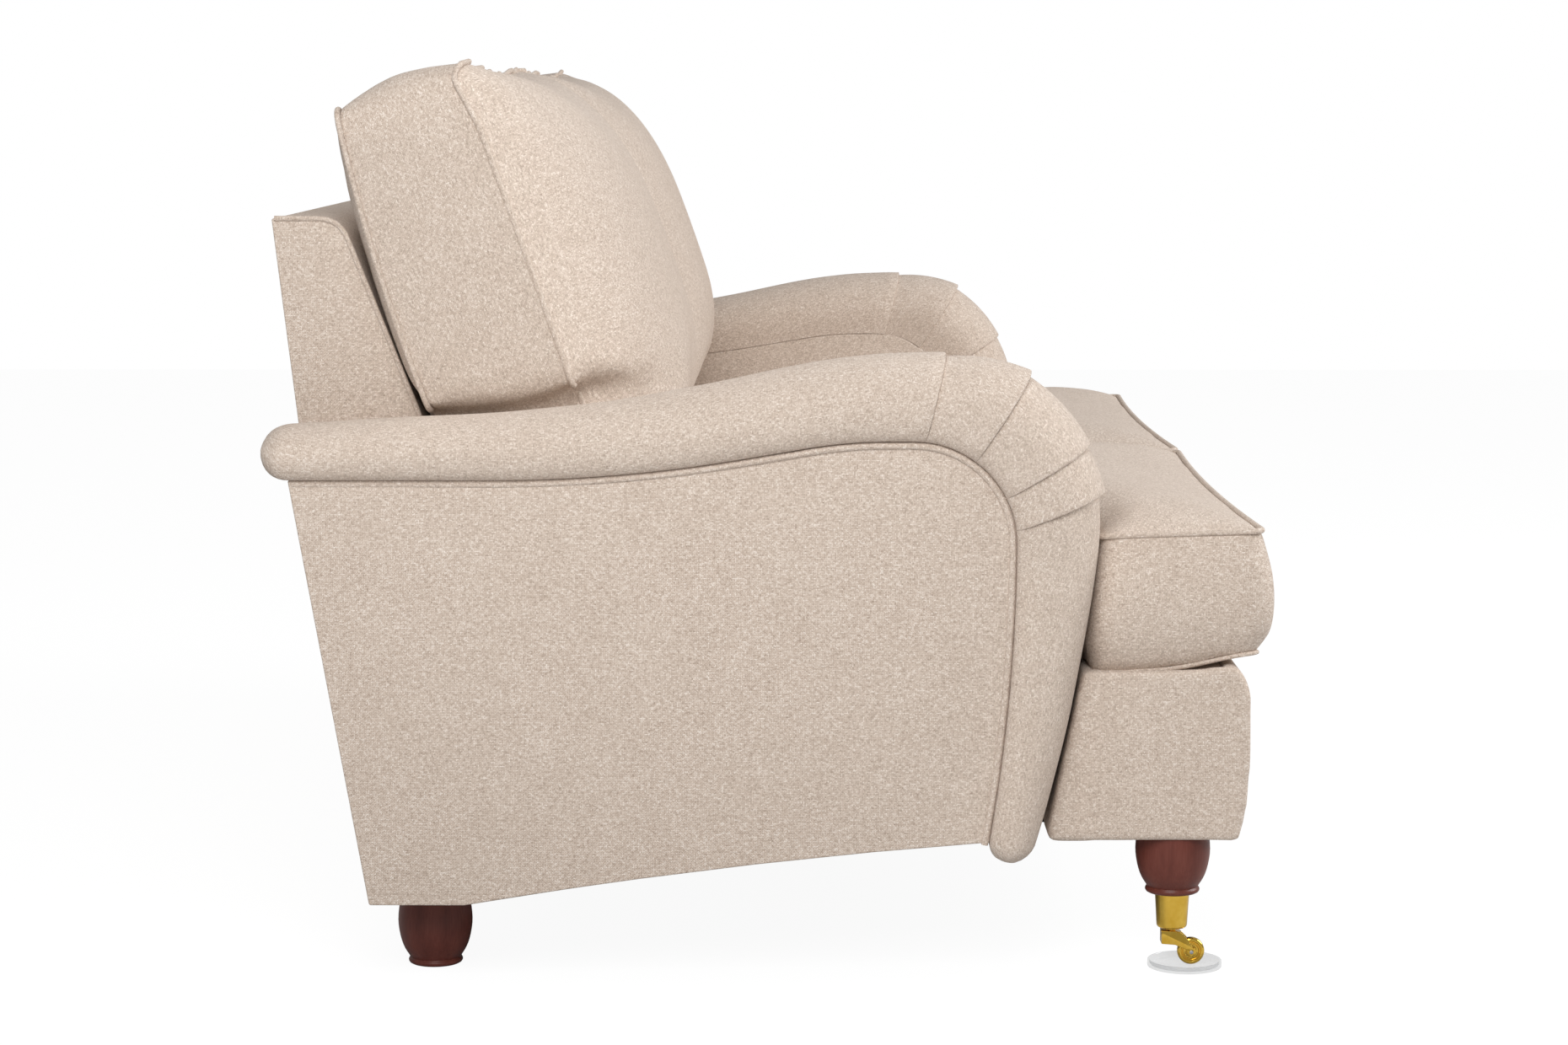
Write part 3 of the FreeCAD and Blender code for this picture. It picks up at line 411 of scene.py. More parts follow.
def plywood():
    """Birch plywood: pale faces and thin darker layers on its edges."""
    finish = Finish("birch_plywood", Specular_IOR_Level=0.3)
    x, y, z = separate(finish, object_place(finish))
    grain = finish.noise(finish.vector(x * 300.0, y * 14.0, z * 120.0), detail=5.0)
    layer = ((x * 420.0) % 1.0).math("GREATER_THAN", 0.5)
    tone = grain + layer * 0.12
    color = finish.ramp(tone, (0.3, (0.50, 0.35, 0.20)), (0.75, (0.75, 0.59, 0.41)))
    return finish.done(tone, distance=0.15 * mm, strength=0.4, Base_Color=color,
                       Roughness=0.6 + grain * 0.2)


def webbing():
    """Black elastic webbing in a fine check of threads."""
    pitch = 2.2 * mm
    finish = Finish("elastic_webbing", Sheen_Weight=0.15)
    x, y, z = separate(finish, object_place(finish))
    column, row = x * (1 / pitch), (y + z) * (1 / pitch)
    over = (column.math("FLOOR") + row.math("FLOOR")) % 2.0
    thread = finish.noise(finish.vector(column, row, 0.0), scale=0.7)
    tone = thread * 0.7 + over * 0.3
    color = finish.ramp(tone, (0.3, (0.035, 0.035, 0.035)), (0.8, (0.14, 0.135, 0.13)))
    return finish.done(tone, distance=0.3 * mm, strength=0.6, Base_Color=color,
                       Roughness=0.7 + over * 0.2)


def dust_cloth():
    """Thin black bonded cloth with small embossed points."""
    finish = Finish("dust_cloth_black", Sheen_Weight=0.1)
    place = object_place(finish)
    fibre = finish.noise(place, scale=900.0, detail=3.0)
    points = finish.node("TexVoronoi", None, {"Vector": place, "Scale": 400.0})
    tone = fibre * 0.6 + points * 0.5
    color = finish.ramp(tone, (0.25, (0.022, 0.022, 0.023)), (0.8, (0.075, 0.075, 0.078)))
    return finish.done(tone, distance=0.15 * mm, strength=0.5, Base_Color=color,
                       Roughness=0.8 + fibre * 0.1)


finishes = {
    "turned_wood": turned_wood(), "brass": brass(), "steel": steel(),
    "clear_plastic": clear_plastic(),
    "frame_timber": sawn_timber("planed_hardwood", (0.40, 0.26, 0.14), (0.66, 0.48, 0.30), 0),
    "plywood": plywood(), "webbing": webbing(), "dust_cloth": dust_cloth(), "upholstery": linen(),
}
for entry in frame["record"]["subparts"]:
    node = frame["nodes"][entry["node"]]
    for place in node.material_slots:
        place.material = finishes[entry["material_slot"]]


# The arm's welt line, seen from the side
class Track:
    """A smooth run of straights and bends in the Y-Z plane, measured by its length."""

    def __init__(self, y, z, heading):
        self.runs, self.length = [], 0.0
        self.end = (y, z, math.radians(heading))

    def straight(self, length):
        return self.add(length, 0.0)

    def bend(self, radius, degrees):
        return self.add(radius * math.radians(abs(degrees)), math.copysign(1 / radius, degrees))

    def add(self, length, curve):
        self.runs.append((self.length, curve) + self.end)
        self.length += length
        self.end = self.at(self.length)
        return self

    def at(self, s):
        """The point and the heading at a length; below zero the first run goes on backwards."""
        start, curve, y, z, heading = self.runs[0]
        for run in self.runs:
            if s > run[0]:
                start, curve, y, z, heading = run
        reach = s - start
        if not curve:
            return y + reach * math.cos(heading), z + reach * math.sin(heading), heading
        turned = heading + curve * reach
        return (y + (math.sin(turned) - math.sin(heading)) / curve,
                z - (math.cos(turned) - math.cos(heading)) / curve, turned)


sag_radius, front_radius = 1.456, 1.7
welt_flat, bend_radius = 0.190, 0.099
welt = Track(0.459, 0.491, 180)
welt.straight(welt_flat).bend(sag_radius, -9.5).straight(0.067).bend(0.450, 9.5).straight(0.024)
bend_start = welt.length
welt.bend(bend_radius, 90)
bend_end = welt.length
welt.bend(front_radius, 9.65)

arm_low, arm_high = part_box("arm_roll_right")
arm_in, arm_out = arm_low.x, arm_high.x
panel_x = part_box("arm_outer_panel_right")[1].x

rise_rear, tail = 0.049, 0.026
pleat_s = [bend_start + bend_radius * math.radians(turn) for turn in (6.0, 36.0, 62.5, 81.4)]
pleat_lean = (14.4, 34.0, 60.3, 69.7)
pleat_rise = (0.0845, 0.100, 0.0965, 0.0945)
pleat_tuck = (0.004, 0.006, 0.004, 0.007)
pleat_side_tuck = 0.0028
pleat_overlap, pleat_sunk, pleat_narrower = 0.004, 0.001, 0.0005
front_rise_top, front_rise_foot = 0.082, 0.049
foot_end, foot_shrink = 0.020, 0.017
tail_rise, tail_low, tail_side = 0.015, 0.022, 0.020
unevenness, uneven_reach = 0.0011, 0.085


def blend(start, end, share):
    return start + (end - start) * share


def spread(start, end, steps):
    return [blend(start, end, i / steps) for i in range(steps + 1)]


def halved(low, high, is_further):
    """The place between low and high where is_further turns false."""
    for _ in range(30):
        middle = (low + high) / 2
        low, high = (middle, high) if is_further(middle) else (low, middle)
    return middle


def wobble(point, size, reach):
    """A slow unevenness of stuffed cloth, at most about size."""
    return size * noise.noise(point / reach)


def roll_ring(s, lean, rise, low=0.0, high=0.0, side=0.0, tuck=0.0):
    """Outline across the roll: flat on the welt line, bulging over it outside, round on top."""
    y, z, _ = welt.at(s)
    out = Vector((0, -math.sin(math.radians(lean)), math.cos(math.radians(lean))))
    base = Vector((0, y, z))
    inner, outer, seam = arm_in + side + tuck, arm_out - side - tuck, panel_x - side
    top = rise - high
    lip = min(0.020, (top - low) * 0.34)
    half = (outer - inner) / 2
    dome = min(top - low - lip - 0.001, half)
    spring = top - dome
    flat = [(x, low) for x in spread(inner, seam, 7)]
    quarter = [math.radians(angle) for angle in spread(0, 90, 8)][1:]
    lipped = [(seam + (outer - seam) * math.sin(t), low + lip * (1 - math.cos(t)))
              for t in quarter]
    side_up = [(outer, height) for height in spread(low + lip, spring, 3)[1:]]
    turns = [math.radians(angle) for angle in spread(0, 180, 32)][1:]
    over = [(inner + half + half * math.cos(t), spring + dome * math.sin(t)) for t in turns]
    down = [(inner, height) for height in spread(spring, low, 6)[1:-1]]
    ring = []
    middle = base + Vector((inner + half, 0, 0)) + out * spring
    for x, height in flat + lipped + side_up + over + down:
        point = base + Vector((x, 0, 0)) + out * height
        if height > low + lip * 0.5:
            point += (point - middle).normalized() * wobble(point, unevenness, uneven_reach)
        ring.append(point)
    return ring


def normal_lean(s):
    return math.degrees(welt.at(s)[2]) - 180.0


def front_rise(s):
    return blend(front_rise_top, front_rise_foot, (s - bend_end) / (welt.length - bend_end))


def hidden_start(s, lean, rise):
    """The ring that begins a pleat under the edge of the one behind it."""
    return roll_ring(s - pleat_overlap, lean, rise, high=pleat_sunk, tuck=pleat_side_tuck + pleat_narrower)


def rounded_edge(s, lean, rise):
    """Rings that turn a pleat's edge inwards."""
    return [roll_ring(s + step, lean, rise, high=inset, side=inset * 0.8)
            for step, inset in ((0.0008, 0.0005), (0.0013, 0.0015), (0.0011, 0.006))]


def roll_cover():
    """The long roll from its rounded tail to the first pleat's edge."""
    rings = []
    for angle in (90, 78, 66, 54, 42, 30, 18, 8):
        reach = math.sin(math.radians(angle))
        shrink = 1 - math.cos(math.radians(angle))
        rings.append(roll_ring(-tail * reach, 0, rise_rear,
                               tail_low * shrink, tail_rise * shrink, tail_side * shrink))
    end = pleat_s[0]
    for s in spread(0.0, end, 46):
        share = max(0.0, s - welt_flat) / (end - welt_flat)
        lean = normal_lean(s) * (1 - share) + pleat_lean[0] * share ** 3
        rings.append(roll_ring(s, lean, blend(rise_rear, pleat_rise[0], s / end)))
    rings += rounded_edge(end, pleat_lean[0], pleat_rise[0])
    return lofted("arm_roll_cover", rings)


def pleat_cover(index):
    """One folded wedge of the roll, tucked under the edge behind it."""
    first, last = pleat_s[index], pleat_s[index + 1]
    start, end = pleat_rise[index] - pleat_tuck[index], pleat_rise[index + 1]
    rings = [hidden_start(first, pleat_lean[index], start)]
    for share in spread(0.0, 1.0, 12):
        s = blend(first, last, share)
        lean = blend(pleat_lean[index], pleat_lean[index + 1], share)
        rise = blend(start, end, share)
        rings.append(roll_ring(s, lean, rise, tuck=pleat_side_tuck * (1 - share)))
    rings += rounded_edge(last, pleat_lean[index + 1], end)
    return lofted("arm_pleat_" + str(index + 1), rings)


def front_cover():
    """The arm's upright front, from the last pleat to its rounded foot."""
    first, rise = pleat_s[-1], pleat_rise[-1] - pleat_tuck[-1]
    rings = [hidden_start(first, pleat_lean[-1], rise)]
    settle = bend_end + 0.025
    for s in spread(first, settle, 8):
        share = (s - first) / (settle - first)
        rings.append(roll_ring(s, blend(pleat_lean[-1], normal_lean(settle), share),
                               blend(rise, front_rise(settle), share), tuck=pleat_side_tuck))
    for s in spread(settle, welt.length, 26)[1:]:
        ease = max(0.0, 1 - (s - settle) / 0.08)
        rings.append(roll_ring(s, normal_lean(s), front_rise(s), tuck=pleat_side_tuck * ease))
    lean = normal_lean(welt.length)
    for angle in (15, 30, 45, 60, 75, 90):
        reach = foot_end * math.sin(math.radians(angle))
        shrink = 1 - math.cos(math.radians(angle))
        rings.append(roll_ring(welt.length + reach, lean, front_rise_foot, *[foot_shrink * shrink] * 3))
    return lofted("arm_front_cover", rings)


arm_covers = [("arm_roll_cover", roll_cover()), ("arm_front_cover", front_cover())]
arm_covers += [("arm_pleat_" + str(i + 1), pleat_cover(i)) for i in range(3)]
for name, cover in arm_covers:
    smooth(cover, 50)
    dress_pair(cover, name, "upholstery", "arm_roll", fill=0.9)


# Piping
seat_pitch = math.radians(2.0)
deck_y, deck_z = -0.396, 0.299
back_foot_y, inside_back_rake = 0.24925, math.radians(21.5)
welt_radius, edge_radius, seam_radius, low_seam_radius = 0.0034, 0.0028, 0.0029, 0.0022
welt_below_roll = 0.0042
tube_sides = 12


def tube(name, path, radius, loop=False):
    """A cord covered in the sofa's cloth along a path of points."""
    rings = []
    count = len(path)
    side = None
    for i, point in enumerate(path):
        before = path[i - 1] if i or loop else point
        after = path[(i + 1) % count] if i + 1 < count or loop else point
        forward = (after - before).normalized()
        if side is None:
            side = forward.orthogonal().normalized()
        side = (side - forward * side.dot(forward)).normalized()
        other = forward.cross(side)
        turns = [2 * math.pi * k / tube_sides for k in range(tube_sides)]
        rings.append([point + side * radius * math.cos(t) + other * radius * math.sin(t)
                      for t in turns])
    piece = lofted(name, rings, loop)
    smooth(piece, 60)
    return piece


def welt_path():
    """Along the panel's edge, just under the roll."""
    points = []
    for s in spread(0.004, welt.length + 0.006, 130):
        y, z, heading = welt.at(s)
        proud = min(1.0, max(0.0, (s - 0.12) / 0.36))
        x = panel_x - blend(0.0024, 0.0006, proud)
        points.append(Vector((x, y - math.sin(heading) * welt_below_roll,
                              z + math.cos(heading) * welt_below_roll)))
    return points


dress_pair(tube("arm_welt", welt_path(), welt_radius), "arm_welt", "upholstery")


def inside_back_y(z):
    """The padded face that the back cushions lean on."""
    return back_foot_y + (z - deck_z) * math.tan(inside_back_rake)


def back_edge_path():
    """Up the front edge of the back's end panel and along its top to the rear."""
    low, high, turn = 0.515, 0.735, 0.022
    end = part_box("outer_back_panel")[1].y
    points = [(inside_back_y(z), z) for z in spread(low, high - turn, 24)]
    corner, finish_y = inside_back_y(high - 0.004), inside_back_y(high) + turn
    start = points[-1]
    for share in spread(0, 1, 8)[1:]:
        y = blend(blend(start[0], corner, share), blend(corner, finish_y, share), share)
        z = blend(blend(start[1], high, share), high, share)
        points.append((y, z))
    points += [(y, high) for y in spread(finish_y, end - 0.003, 8)[1:]]
    return [Vector((arm_in - 0.0008, y, z)) for y, z in points]


edge_piping = tube("back_edge_piping", back_edge_path(), edge_radius)
dress_pair(edge_piping, "back_edge_piping", "upholstery")


# Flat padded panels
def panel(name, node, width):
    piece = copied_node(node, piece_name=name)
    apply_modifier(piece, "BEVEL", width=width, segments=3, limit_method="ANGLE",
                   angle_limit=math.radians(40))
    smooth(piece, 35)
    weave_by_faces(piece)
    return piece


for node, width in (("arm_outer_panel", 0.002), ("arm_inner_pad", 0.003),
                    ("back_end_panel", 0.002)):
    piece = panel(node + "_cover", node + "_right", width)
    dress_pair(piece, node + "_cover", "upholstery", node, fill=1.0)
for node, width in (("inside_back_pad", 0.004), ("outer_back_panel", 0.0015),
                    ("deck_pad", 0.003)):
    piece = panel(node + "_cover", node, width)
    dress(piece, "root", "upholstery", node)


def soften(piece, repeat, group=""):
    """Smooths a piece, all but the vertices of a group."""
    apply_modifier(piece, "SMOOTH", iterations=repeat, factor=0.5, vertex_group=group,
                   invert_vertex_group=bool(group))


def remesh(piece, voxel):
    apply_modifier(piece, "REMESH", mode="VOXEL", voxel_size=voxel)


def creased(piece, path, width, depth):
    """Presses a soft valley into a piece along a path."""
    points = read(piece.data.vertices, "co")
    normals = read(piece.data.vertices, "normal")
    apart = np.full(len(points), 1.0)
    path = [Vector(point) for point in path]
    for start, end in zip(path, path[1:]):
        for share in spread(0.0, 1.0, 8):
            reach = np.linalg.norm(points - np.array(blend(start, end, share)), axis=1)
            apart = np.minimum(apart, reach)
    press = depth * np.exp(-(apart / width) ** 2)
    write_points(piece, points - normals * press[:, None])


def rising(values, start, span):
    """Nought below start, then up to one over the span."""
    return np.clip((values - start) / span, 0.0, 1.0)


def base_cover():
    """The base band and its ears, drooping a little and following the arm's front."""
    nodes = ("front_base_cover", "base_ear_cover_left", "base_ear_cover_right")
    droop_top, droop_depth, top_raised, front_kept = 0.20, 0.0045, 0.004, 0.006
    base = copied_node(*nodes, piece_name="base_cover")
    remesh(base, 0.005)
    soften(base, 9)
    spots = read(base.data.vertices, "co")
    base_foot = spots[:, 2].min()
    droop = np.clip((droop_top - spots[:, 2]) / (droop_top - base_foot), 0.0, 1.0)
    spots[:, 2] -= droop_depth * droop
    ear_rear_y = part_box("base_ear_cover_right")[1].y
    behind = rising(spots[:, 1], ear_rear_y - 0.11, 0.05)
    spots[:, 1] += behind * (0.0065 + 0.0065 * np.clip((0.30 - spots[:, 2]) / 0.155, 0.0, 1.0))
    spots[:, 1] -= front_kept * droop * np.clip((-0.36 - spots[:, 1]) / 0.06, 0.0, 1.0)
    spots[:, 2] += top_raised * rising(spots[:, 2], 0.25, 0.03)
    write_points(base, spots)
    for side in (-1, 1):
        corner = Vector((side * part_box("front_base_cover")[1].x, -0.312, 0.296))
        creased(base, [corner, corner + Vector((0, -0.020, -0.016))], 0.004, 0.0018)
        start, end = Vector((0, -0.012, 0.002)), Vector((0, -0.040, -0.008))
        creased(base, [corner + start, corner + end], 0.004, 0.0014)
    smooth(base, 60)
    weave_by_faces(base)
    dress(base, "root", "upholstery", *nodes)


base_cover()


# Cushions
cushion_voxel = 0.009
seam_grip, gas_pressure, cloth_frames, cloth_stiffness = 0.006, 4.0, 20, 12
cord_step = 0.006


def outline(corners, radii, draw_in, side_steps=14, corner_steps=6):
    """Closed outline with sides that bow inwards and corners each rounded by its own radius."""
    points = []
    count = len(corners)
    lengths = [(corners[(i + 1) % count] - corner).length for i, corner in enumerate(corners)]
    radii = [min(radius, 0.45 * lengths[i - 1], 0.45 * lengths[i])
             for i, radius in enumerate(radii)]
    for i, here in enumerate(corners):
        before, after = corners[i - 1], corners[(i + 1) % count]
        into, away = (here - before).normalized(), (after - here).normalized()
        start, end = here - into * radii[i], here + away * radii[i]
        for share in spread(0.0, 1.0, corner_steps):
            points.append(blend(blend(start, here, share), blend(here, end, share), share))
        span = after - away * radii[(i + 1) % count] - end
        inward = Vector((-away.y, away.x))
        for share in spread(0.0, 1.0, side_steps)[1:-1]:
            bow = 4 * share * (1 - share) * draw_in * span.length
            points.append(end + span * share + inward * bow)
    return points


def stuffed(name, rings, seams, cap):
    """A closed form filled by a short cloth simulation that its seams hold and cap limits."""
    piece = lofted(name, rings)
    remesh(piece, cushion_voxel)
    tree = kdtree.KDTree(sum(len(seam) for seam in seams))
    for number, point in enumerate(point for seam in seams for point in seam):
        tree.insert(point, number)
    tree.balance()
    held = piece.vertex_groups.new(name="seams")
    near = [vertex.index for vertex in piece.data.vertices if tree.find(vertex.co)[2] < seam_grip]
    held.add(near, 1.0, "REPLACE")
    soften(piece, 10, group="seams")
    rest = read(piece.data.vertices, "co")
    cloth = piece.modifiers.new("Cloth", "CLOTH")
    cloth.settings.use_pressure = True
    cloth.settings.uniform_pressure_force = gas_pressure
    cloth.settings.vertex_group_mass = "seams"
    cloth.settings.effector_weights.gravity = 0.0
    cloth.settings.quality = 4
    cloth.settings.tension_stiffness = cloth_stiffness
    cloth.settings.compression_stiffness = cloth_stiffness
    for number in range(1, cloth_frames + 1):
        bpy.context.scene.frame_set(number)
    shape = piece.evaluated_get(bpy.context.evaluated_depsgraph_get())
    moved = read(shape.data.vertices, "co") - rest
    piece.modifiers.remove(cloth)
    bpy.context.scene.frame_set(1)
    reach = np.linalg.norm(moved, axis=1, keepdims=True)
    moved *= cap * np.tanh(reach / cap) / np.maximum(reach, 1e-9)
    write_points(piece, rest + moved)
    soften(piece, 3, group="seams")
    apply_modifier(piece, "SUBSURF", levels=1, render_levels=1)
    smooth(piece, 60)
    return piece


def dense(points, step=0.003):
    """The points of a closed path, filled in to about a step apart."""
    filled = []
    for start, end in zip(points, points[1:] + points[:1]):
        steps = max(1, round((end - start).length / step))
        filled += [blend(start, end, i / steps) for i in range(steps)]
    return filled


seat_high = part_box("seat_cushion_right")[1]
seat_split, seat_ear = 0.007, 0.786
seat_nose = -0.4823 - deck_y
corner_lift, corner_reach, side_droop, lift_height = 0.016, 0.06, 0.006, 0.05
on_deck = Matrix.Translation((0, deck_y, deck_z)) @ Matrix.Rotation(-seat_pitch, 4, "X")


def arm_front_y(z):
    """The arm front's foremost line at a height."""
    def lean(s):
        return math.radians(normal_lean(s))

    s = halved(bend_end, welt.length, lambda s: welt.at(s)[1] + front_rise(s) * math.cos(lean(s)) > z)
    return welt.at(s)[0] - front_rise(s) * math.sin(lean(s))


def seat_ring(height, front, side, corner):
    ear_rear = arm_front_y(deck_z + height) - 0.003 - deck_y + max(min(side, 0.0), -0.03)
    rear = (seat_high.y - deck_y) - 0.012 + min(side, 0.0)
    body = arm_in - 0.008 + side
    inner, nose, ear = seat_split - side, seat_nose - front, seat_ear + front
    corners = [(inner, nose), (ear, nose), (ear, ear_rear), (body, ear_rear),
               (body, rear), (inner, rear)]
    tucked = corner * (1 + 2.5 * max(0.0, 1 - height / 0.045))
    radii = [corner, corner, tucked, corner + max(0.0, -side) * 0.6, corner, corner]
    points = outline([Vector(corner_at) for corner_at in corners], radii, 0.011)
    ring = []
    for point in points:
        away = (Vector((ear, nose)) - point).length / corner_reach
        outer = min(1.0, max(0.0, (point.x - 0.69) / 0.06))
        near_foot = max(0.0, 1 - height / lift_height)
        lift = (corner_lift * math.exp(-away * away) - side_droop * outer) * near_foot
        ring.append(on_deck @ Vector((point.x, point.y, height + lift)))
    return ring


# Height over the deck, how far the front and the sides swell, and the corners' radius
low_seam, top_seam = 4, 10
seat_levels = [
    (0.0004, -0.050, -0.040, 0.040), (0.0006, -0.032, -0.028, 0.030), (0.0012, -0.020, -0.018, 0.024),
    (0.0028, -0.013, -0.012, 0.020), (0.0055, -0.008, -0.008, 0.016),
    (0.028, 0.006, 0.003, 0.022), (0.048, 0.010, 0.005, 0.026), (0.070, 0.011, 0.006, 0.026),
    (0.092, 0.009, 0.005, 0.024), (0.115, 0.004, 0.002, 0.018), (0.1345, -0.002, -0.001, 0.012),
    (0.140, -0.012, -0.011, 0.020), (0.147, -0.032, -0.032, 0.034), (0.1535, -0.060, -0.062, 0.05),
    (0.159, -0.095, -0.104, 0.07), (0.1625, -0.135, -0.155, 0.08), (0.164, -0.175, -0.205, 0.08),
]
seat_rings = [seat_ring(*level) for level in seat_levels]
seat_seams = [dense(seat_rings[low_seam]), dense(seat_rings[top_seam])]
seat = stuffed("seat_cushion_cover", seat_rings, seat_seams, cap=0.006)
weave_by_faces(seat, -seat_pitch)
dress_pair(seat, "seat_cushion_cover", "upholstery", "seat_cushion", body="seat_cushion", fill=0.85)
for name, ring, radius in (("seat_piping_low", seat_rings[low_seam], low_seam_radius),
                           ("seat_piping_top", seat_rings[top_seam], seam_radius)):
    cord = tube(name, dense(ring, cord_step), radius, loop=True)
    dress_pair(cord, name, "upholstery", body="seat_cushion")

back_lean = math.radians(19.5)
timber_z = 0.138
front_seam_n, back_boxing = 0.006, 0.130
rear_seam_n = front_seam_n - back_boxing
back_split, wing_x, body_x = 0.007, 0.751, arm_in - 0.007
back_top_u, crown = 0.933, 0.111
on_back = Matrix.Rotation(math.radians(90) - back_lean, 4, "X")


def crest_z(y):
    """Height of the arm roll's crest at a distance along the sofa's depth."""
    s = halved(0.0, pleat_s[0], lambda s: welt.at(s)[0] > y)
    return welt.at(s)[1] + blend(rise_rear, pleat_rise[0], s / pleat_s[0])


def wing_bottom(n):
    """Where the wing clears the arm's crest, along the cushion's height."""
    def is_under(u):
        y = u * math.sin(back_lean) - n * math.cos(back_lean)
        z = u * math.cos(back_lean) + n * math.sin(back_lean)
        return z < crest_z(y) + 0.002

    return halved(0.4, back_top_u, is_under)


def back_seat_u():
    """Where the cushion's lowest edge stands, along its own height."""
    solid = frame["nodes"]["back_cushion_right"].data
    return min((on_back.inverted() @ Vector(vertex.co)).y for vertex in solid.vertices)


back_bottom_u = back_seat_u()
pinch_lift = 0.011


def back_ring(n, top, bottom, side, corner, merge=0.0, gather=0.0):
    """The cushion's outline at a distance along its normal.

    merge takes the step between wing and body away; gather puckers the top edge.
    """
    forward = min(1.0, max(0.0, (n - rear_seam_n) / back_boxing))
    low = back_bottom_u + bottom
    notch = blend(wing_bottom(n) + max(bottom, 0.0) + pinch_lift * forward ** 3, low, merge)
    inner, wing, high = back_split + side, wing_x - side, back_top_u - top
    body = blend(body_x - side, wing - 0.002, merge)
    corners = [(inner, low), (body, low), (body, notch), (wing, notch),
               (wing, high), (inner, high)]
    radii = [corner, corner, corner, corner, corner * 2.2, corner * 1.6]
    ring = []
    for point in outline([Vector(corner_at) for corner_at in corners], radii, 0.014, 22, 8):
        near_top = min(1.0, max(0.0, 1 - (high - point.y) / 0.06))
        swing = gather * near_top * math.sin(point.x * 118 + 2.2 * math.sin(point.x * 31))
        beside = min(1.0, max(0.0, (point.x - 0.60) / 0.12))
        up_side = min(1.0, max(0.0, (point.y - 0.52) / (back_top_u - 0.52)))
        sway = 0.009 * up_side ** 3 - 0.008 * math.sin(math.pi * up_side)
        curve = (1 - forward) * beside * sway
        curve += 0.004 * forward
        ring.append(on_back @ Vector((point.x, point.y + 0.5 * swing, n + swing + curve)))
    return ring


# Share of the boxing, or metres behind it, then back_ring's own measures
back_levels = [
    (-0.0135, 0.110, 0.080, 0.110, 0.05), (-0.013, 0.055, 0.040, 0.055, 0.04),
    (-0.011, 0.022, 0.020, 0.022, 0.03), (-0.0065, 0.008, 0.008, 0.007, 0.018),
    (0.0, 0.0, 0.002, 0.0, 0.012), (0.15, -0.006, 0.001, -0.002, 0.020),
    (0.35, -0.012, 0.0, -0.005, 0.026), (0.5, -0.015, 0.0, -0.006, 0.028),
    (0.65, -0.013, 0.0, -0.005, 0.026), (0.85, -0.006, 0.001, -0.002, 0.020, 0.0, 0.004),
    (1.0, 0.0, 0.002, 0.0, 0.012, 0.0, 0.0085),
]
back_rings = [
    back_ring(rear_seam_n + (level if level <= 0 else level * back_boxing), *rest)
    for level, *rest in back_levels
]
rear_seam_ring, front_seam_ring = back_rings[4], back_rings[-1]
for share in (0.08, 0.18, 0.29, 0.40, 0.51, 0.62, 0.72, 0.81, 0.885, 0.94, 0.975, 0.992):
    inset = 1 - math.sqrt(1 - share ** 2)
    spring = 1 - math.exp(-share / 0.12)
    back_rings.append(back_ring(
        front_seam_n + crown * share, 0.008 * spring + 0.19 * inset,
        0.002 + 0.006 * spring + 0.15 * inset, 0.015 * spring + 0.29 * inset,
        0.014 + 0.32 * inset, min(1.0, 1.6 * inset), 0.0045 * max(0.0, 1 - share * 4)))
back_seams = [dense(rear_seam_ring), dense(front_seam_ring)]
back = stuffed("back_cushion_cover", back_rings, back_seams, cap=0.008)
pinch = max(front_seam_ring, key=lambda point: point.x - point.z * 0.35)
for steps, width, depth in (
    (((0, 0, 0), (-0.020, -0.022, 0.034), (-0.052, -0.036, 0.078)), 0.009, 0.006),
    (((-0.010, -0.012, -0.004), (-0.030, -0.040, -0.004)), 0.010, 0.005),
    (((-0.002, 0.012, 0.022), (0.0, 0.034, 0.040)), 0.009, 0.003),
):
    creased(back, [pinch + Vector(step) for step in steps], width, depth)
weave_by_faces(back, math.radians(90) - back_lean)
dress_pair(back, "back_cushion_cover", "upholstery", "back_cushion", body="back_cushion", fill=0.75)


def sunk(ring, least, most):
    """A seam's path moved towards the cushion's middle, most at its foot."""
    low, high = min(point.z for point in ring), max(point.z for point in ring)
    middle = sum(ring, Vector()) / len(ring)
    moved = []
    for point in ring:
        depth = blend(most, least, ((point.z - low) / (high - low)) ** 5)
        moved.append(point + (middle - point).normalized() * depth)
    return moved


for name, ring, depths in (("back_piping_rear", rear_seam_ring, (0.0008, 0.0008)),
                           ("back_piping_front", front_seam_ring, (0.0003, 0.0012))):
    cord = tube(name, dense(sunk(ring, *depths), cord_step), seam_radius, loop=True)
    dress_pair(cord, name, "upholstery", body="back_cushion")


# Turned feet and castors
def turned(name, profile, centre, across=False, sides=56):
    """A turned piece from (radius, height) pairs in millimetres, from one end to the other."""
    rings = []
    for radius, height in profile:
        ring = []
        for k in range(sides):
            angle = 2 * math.pi * k / sides
            place = Vector((radius * math.cos(angle), radius * math.sin(angle), height)) * mm
            ring.append(centre + (place.zxy if across else place))
        rings.append(ring)
    piece = lofted(name, rings)
    smooth(piece, 30)
    return piece


def spun(name, profile, centre):
    """A ring about an axis across the sofa, from a closed outline of (across, radius) pairs."""
    sides, rings = 64, []
    for k in range(sides):
        angle = 2 * math.pi * k / sides
        rings.append([
            centre + Vector((across, radius * math.cos(angle), radius * math.sin(angle))) * mm
            for across, radius in profile
        ])
    piece = lofted(name, rings, loop=True)
    smooth(piece, 30)
    return piece


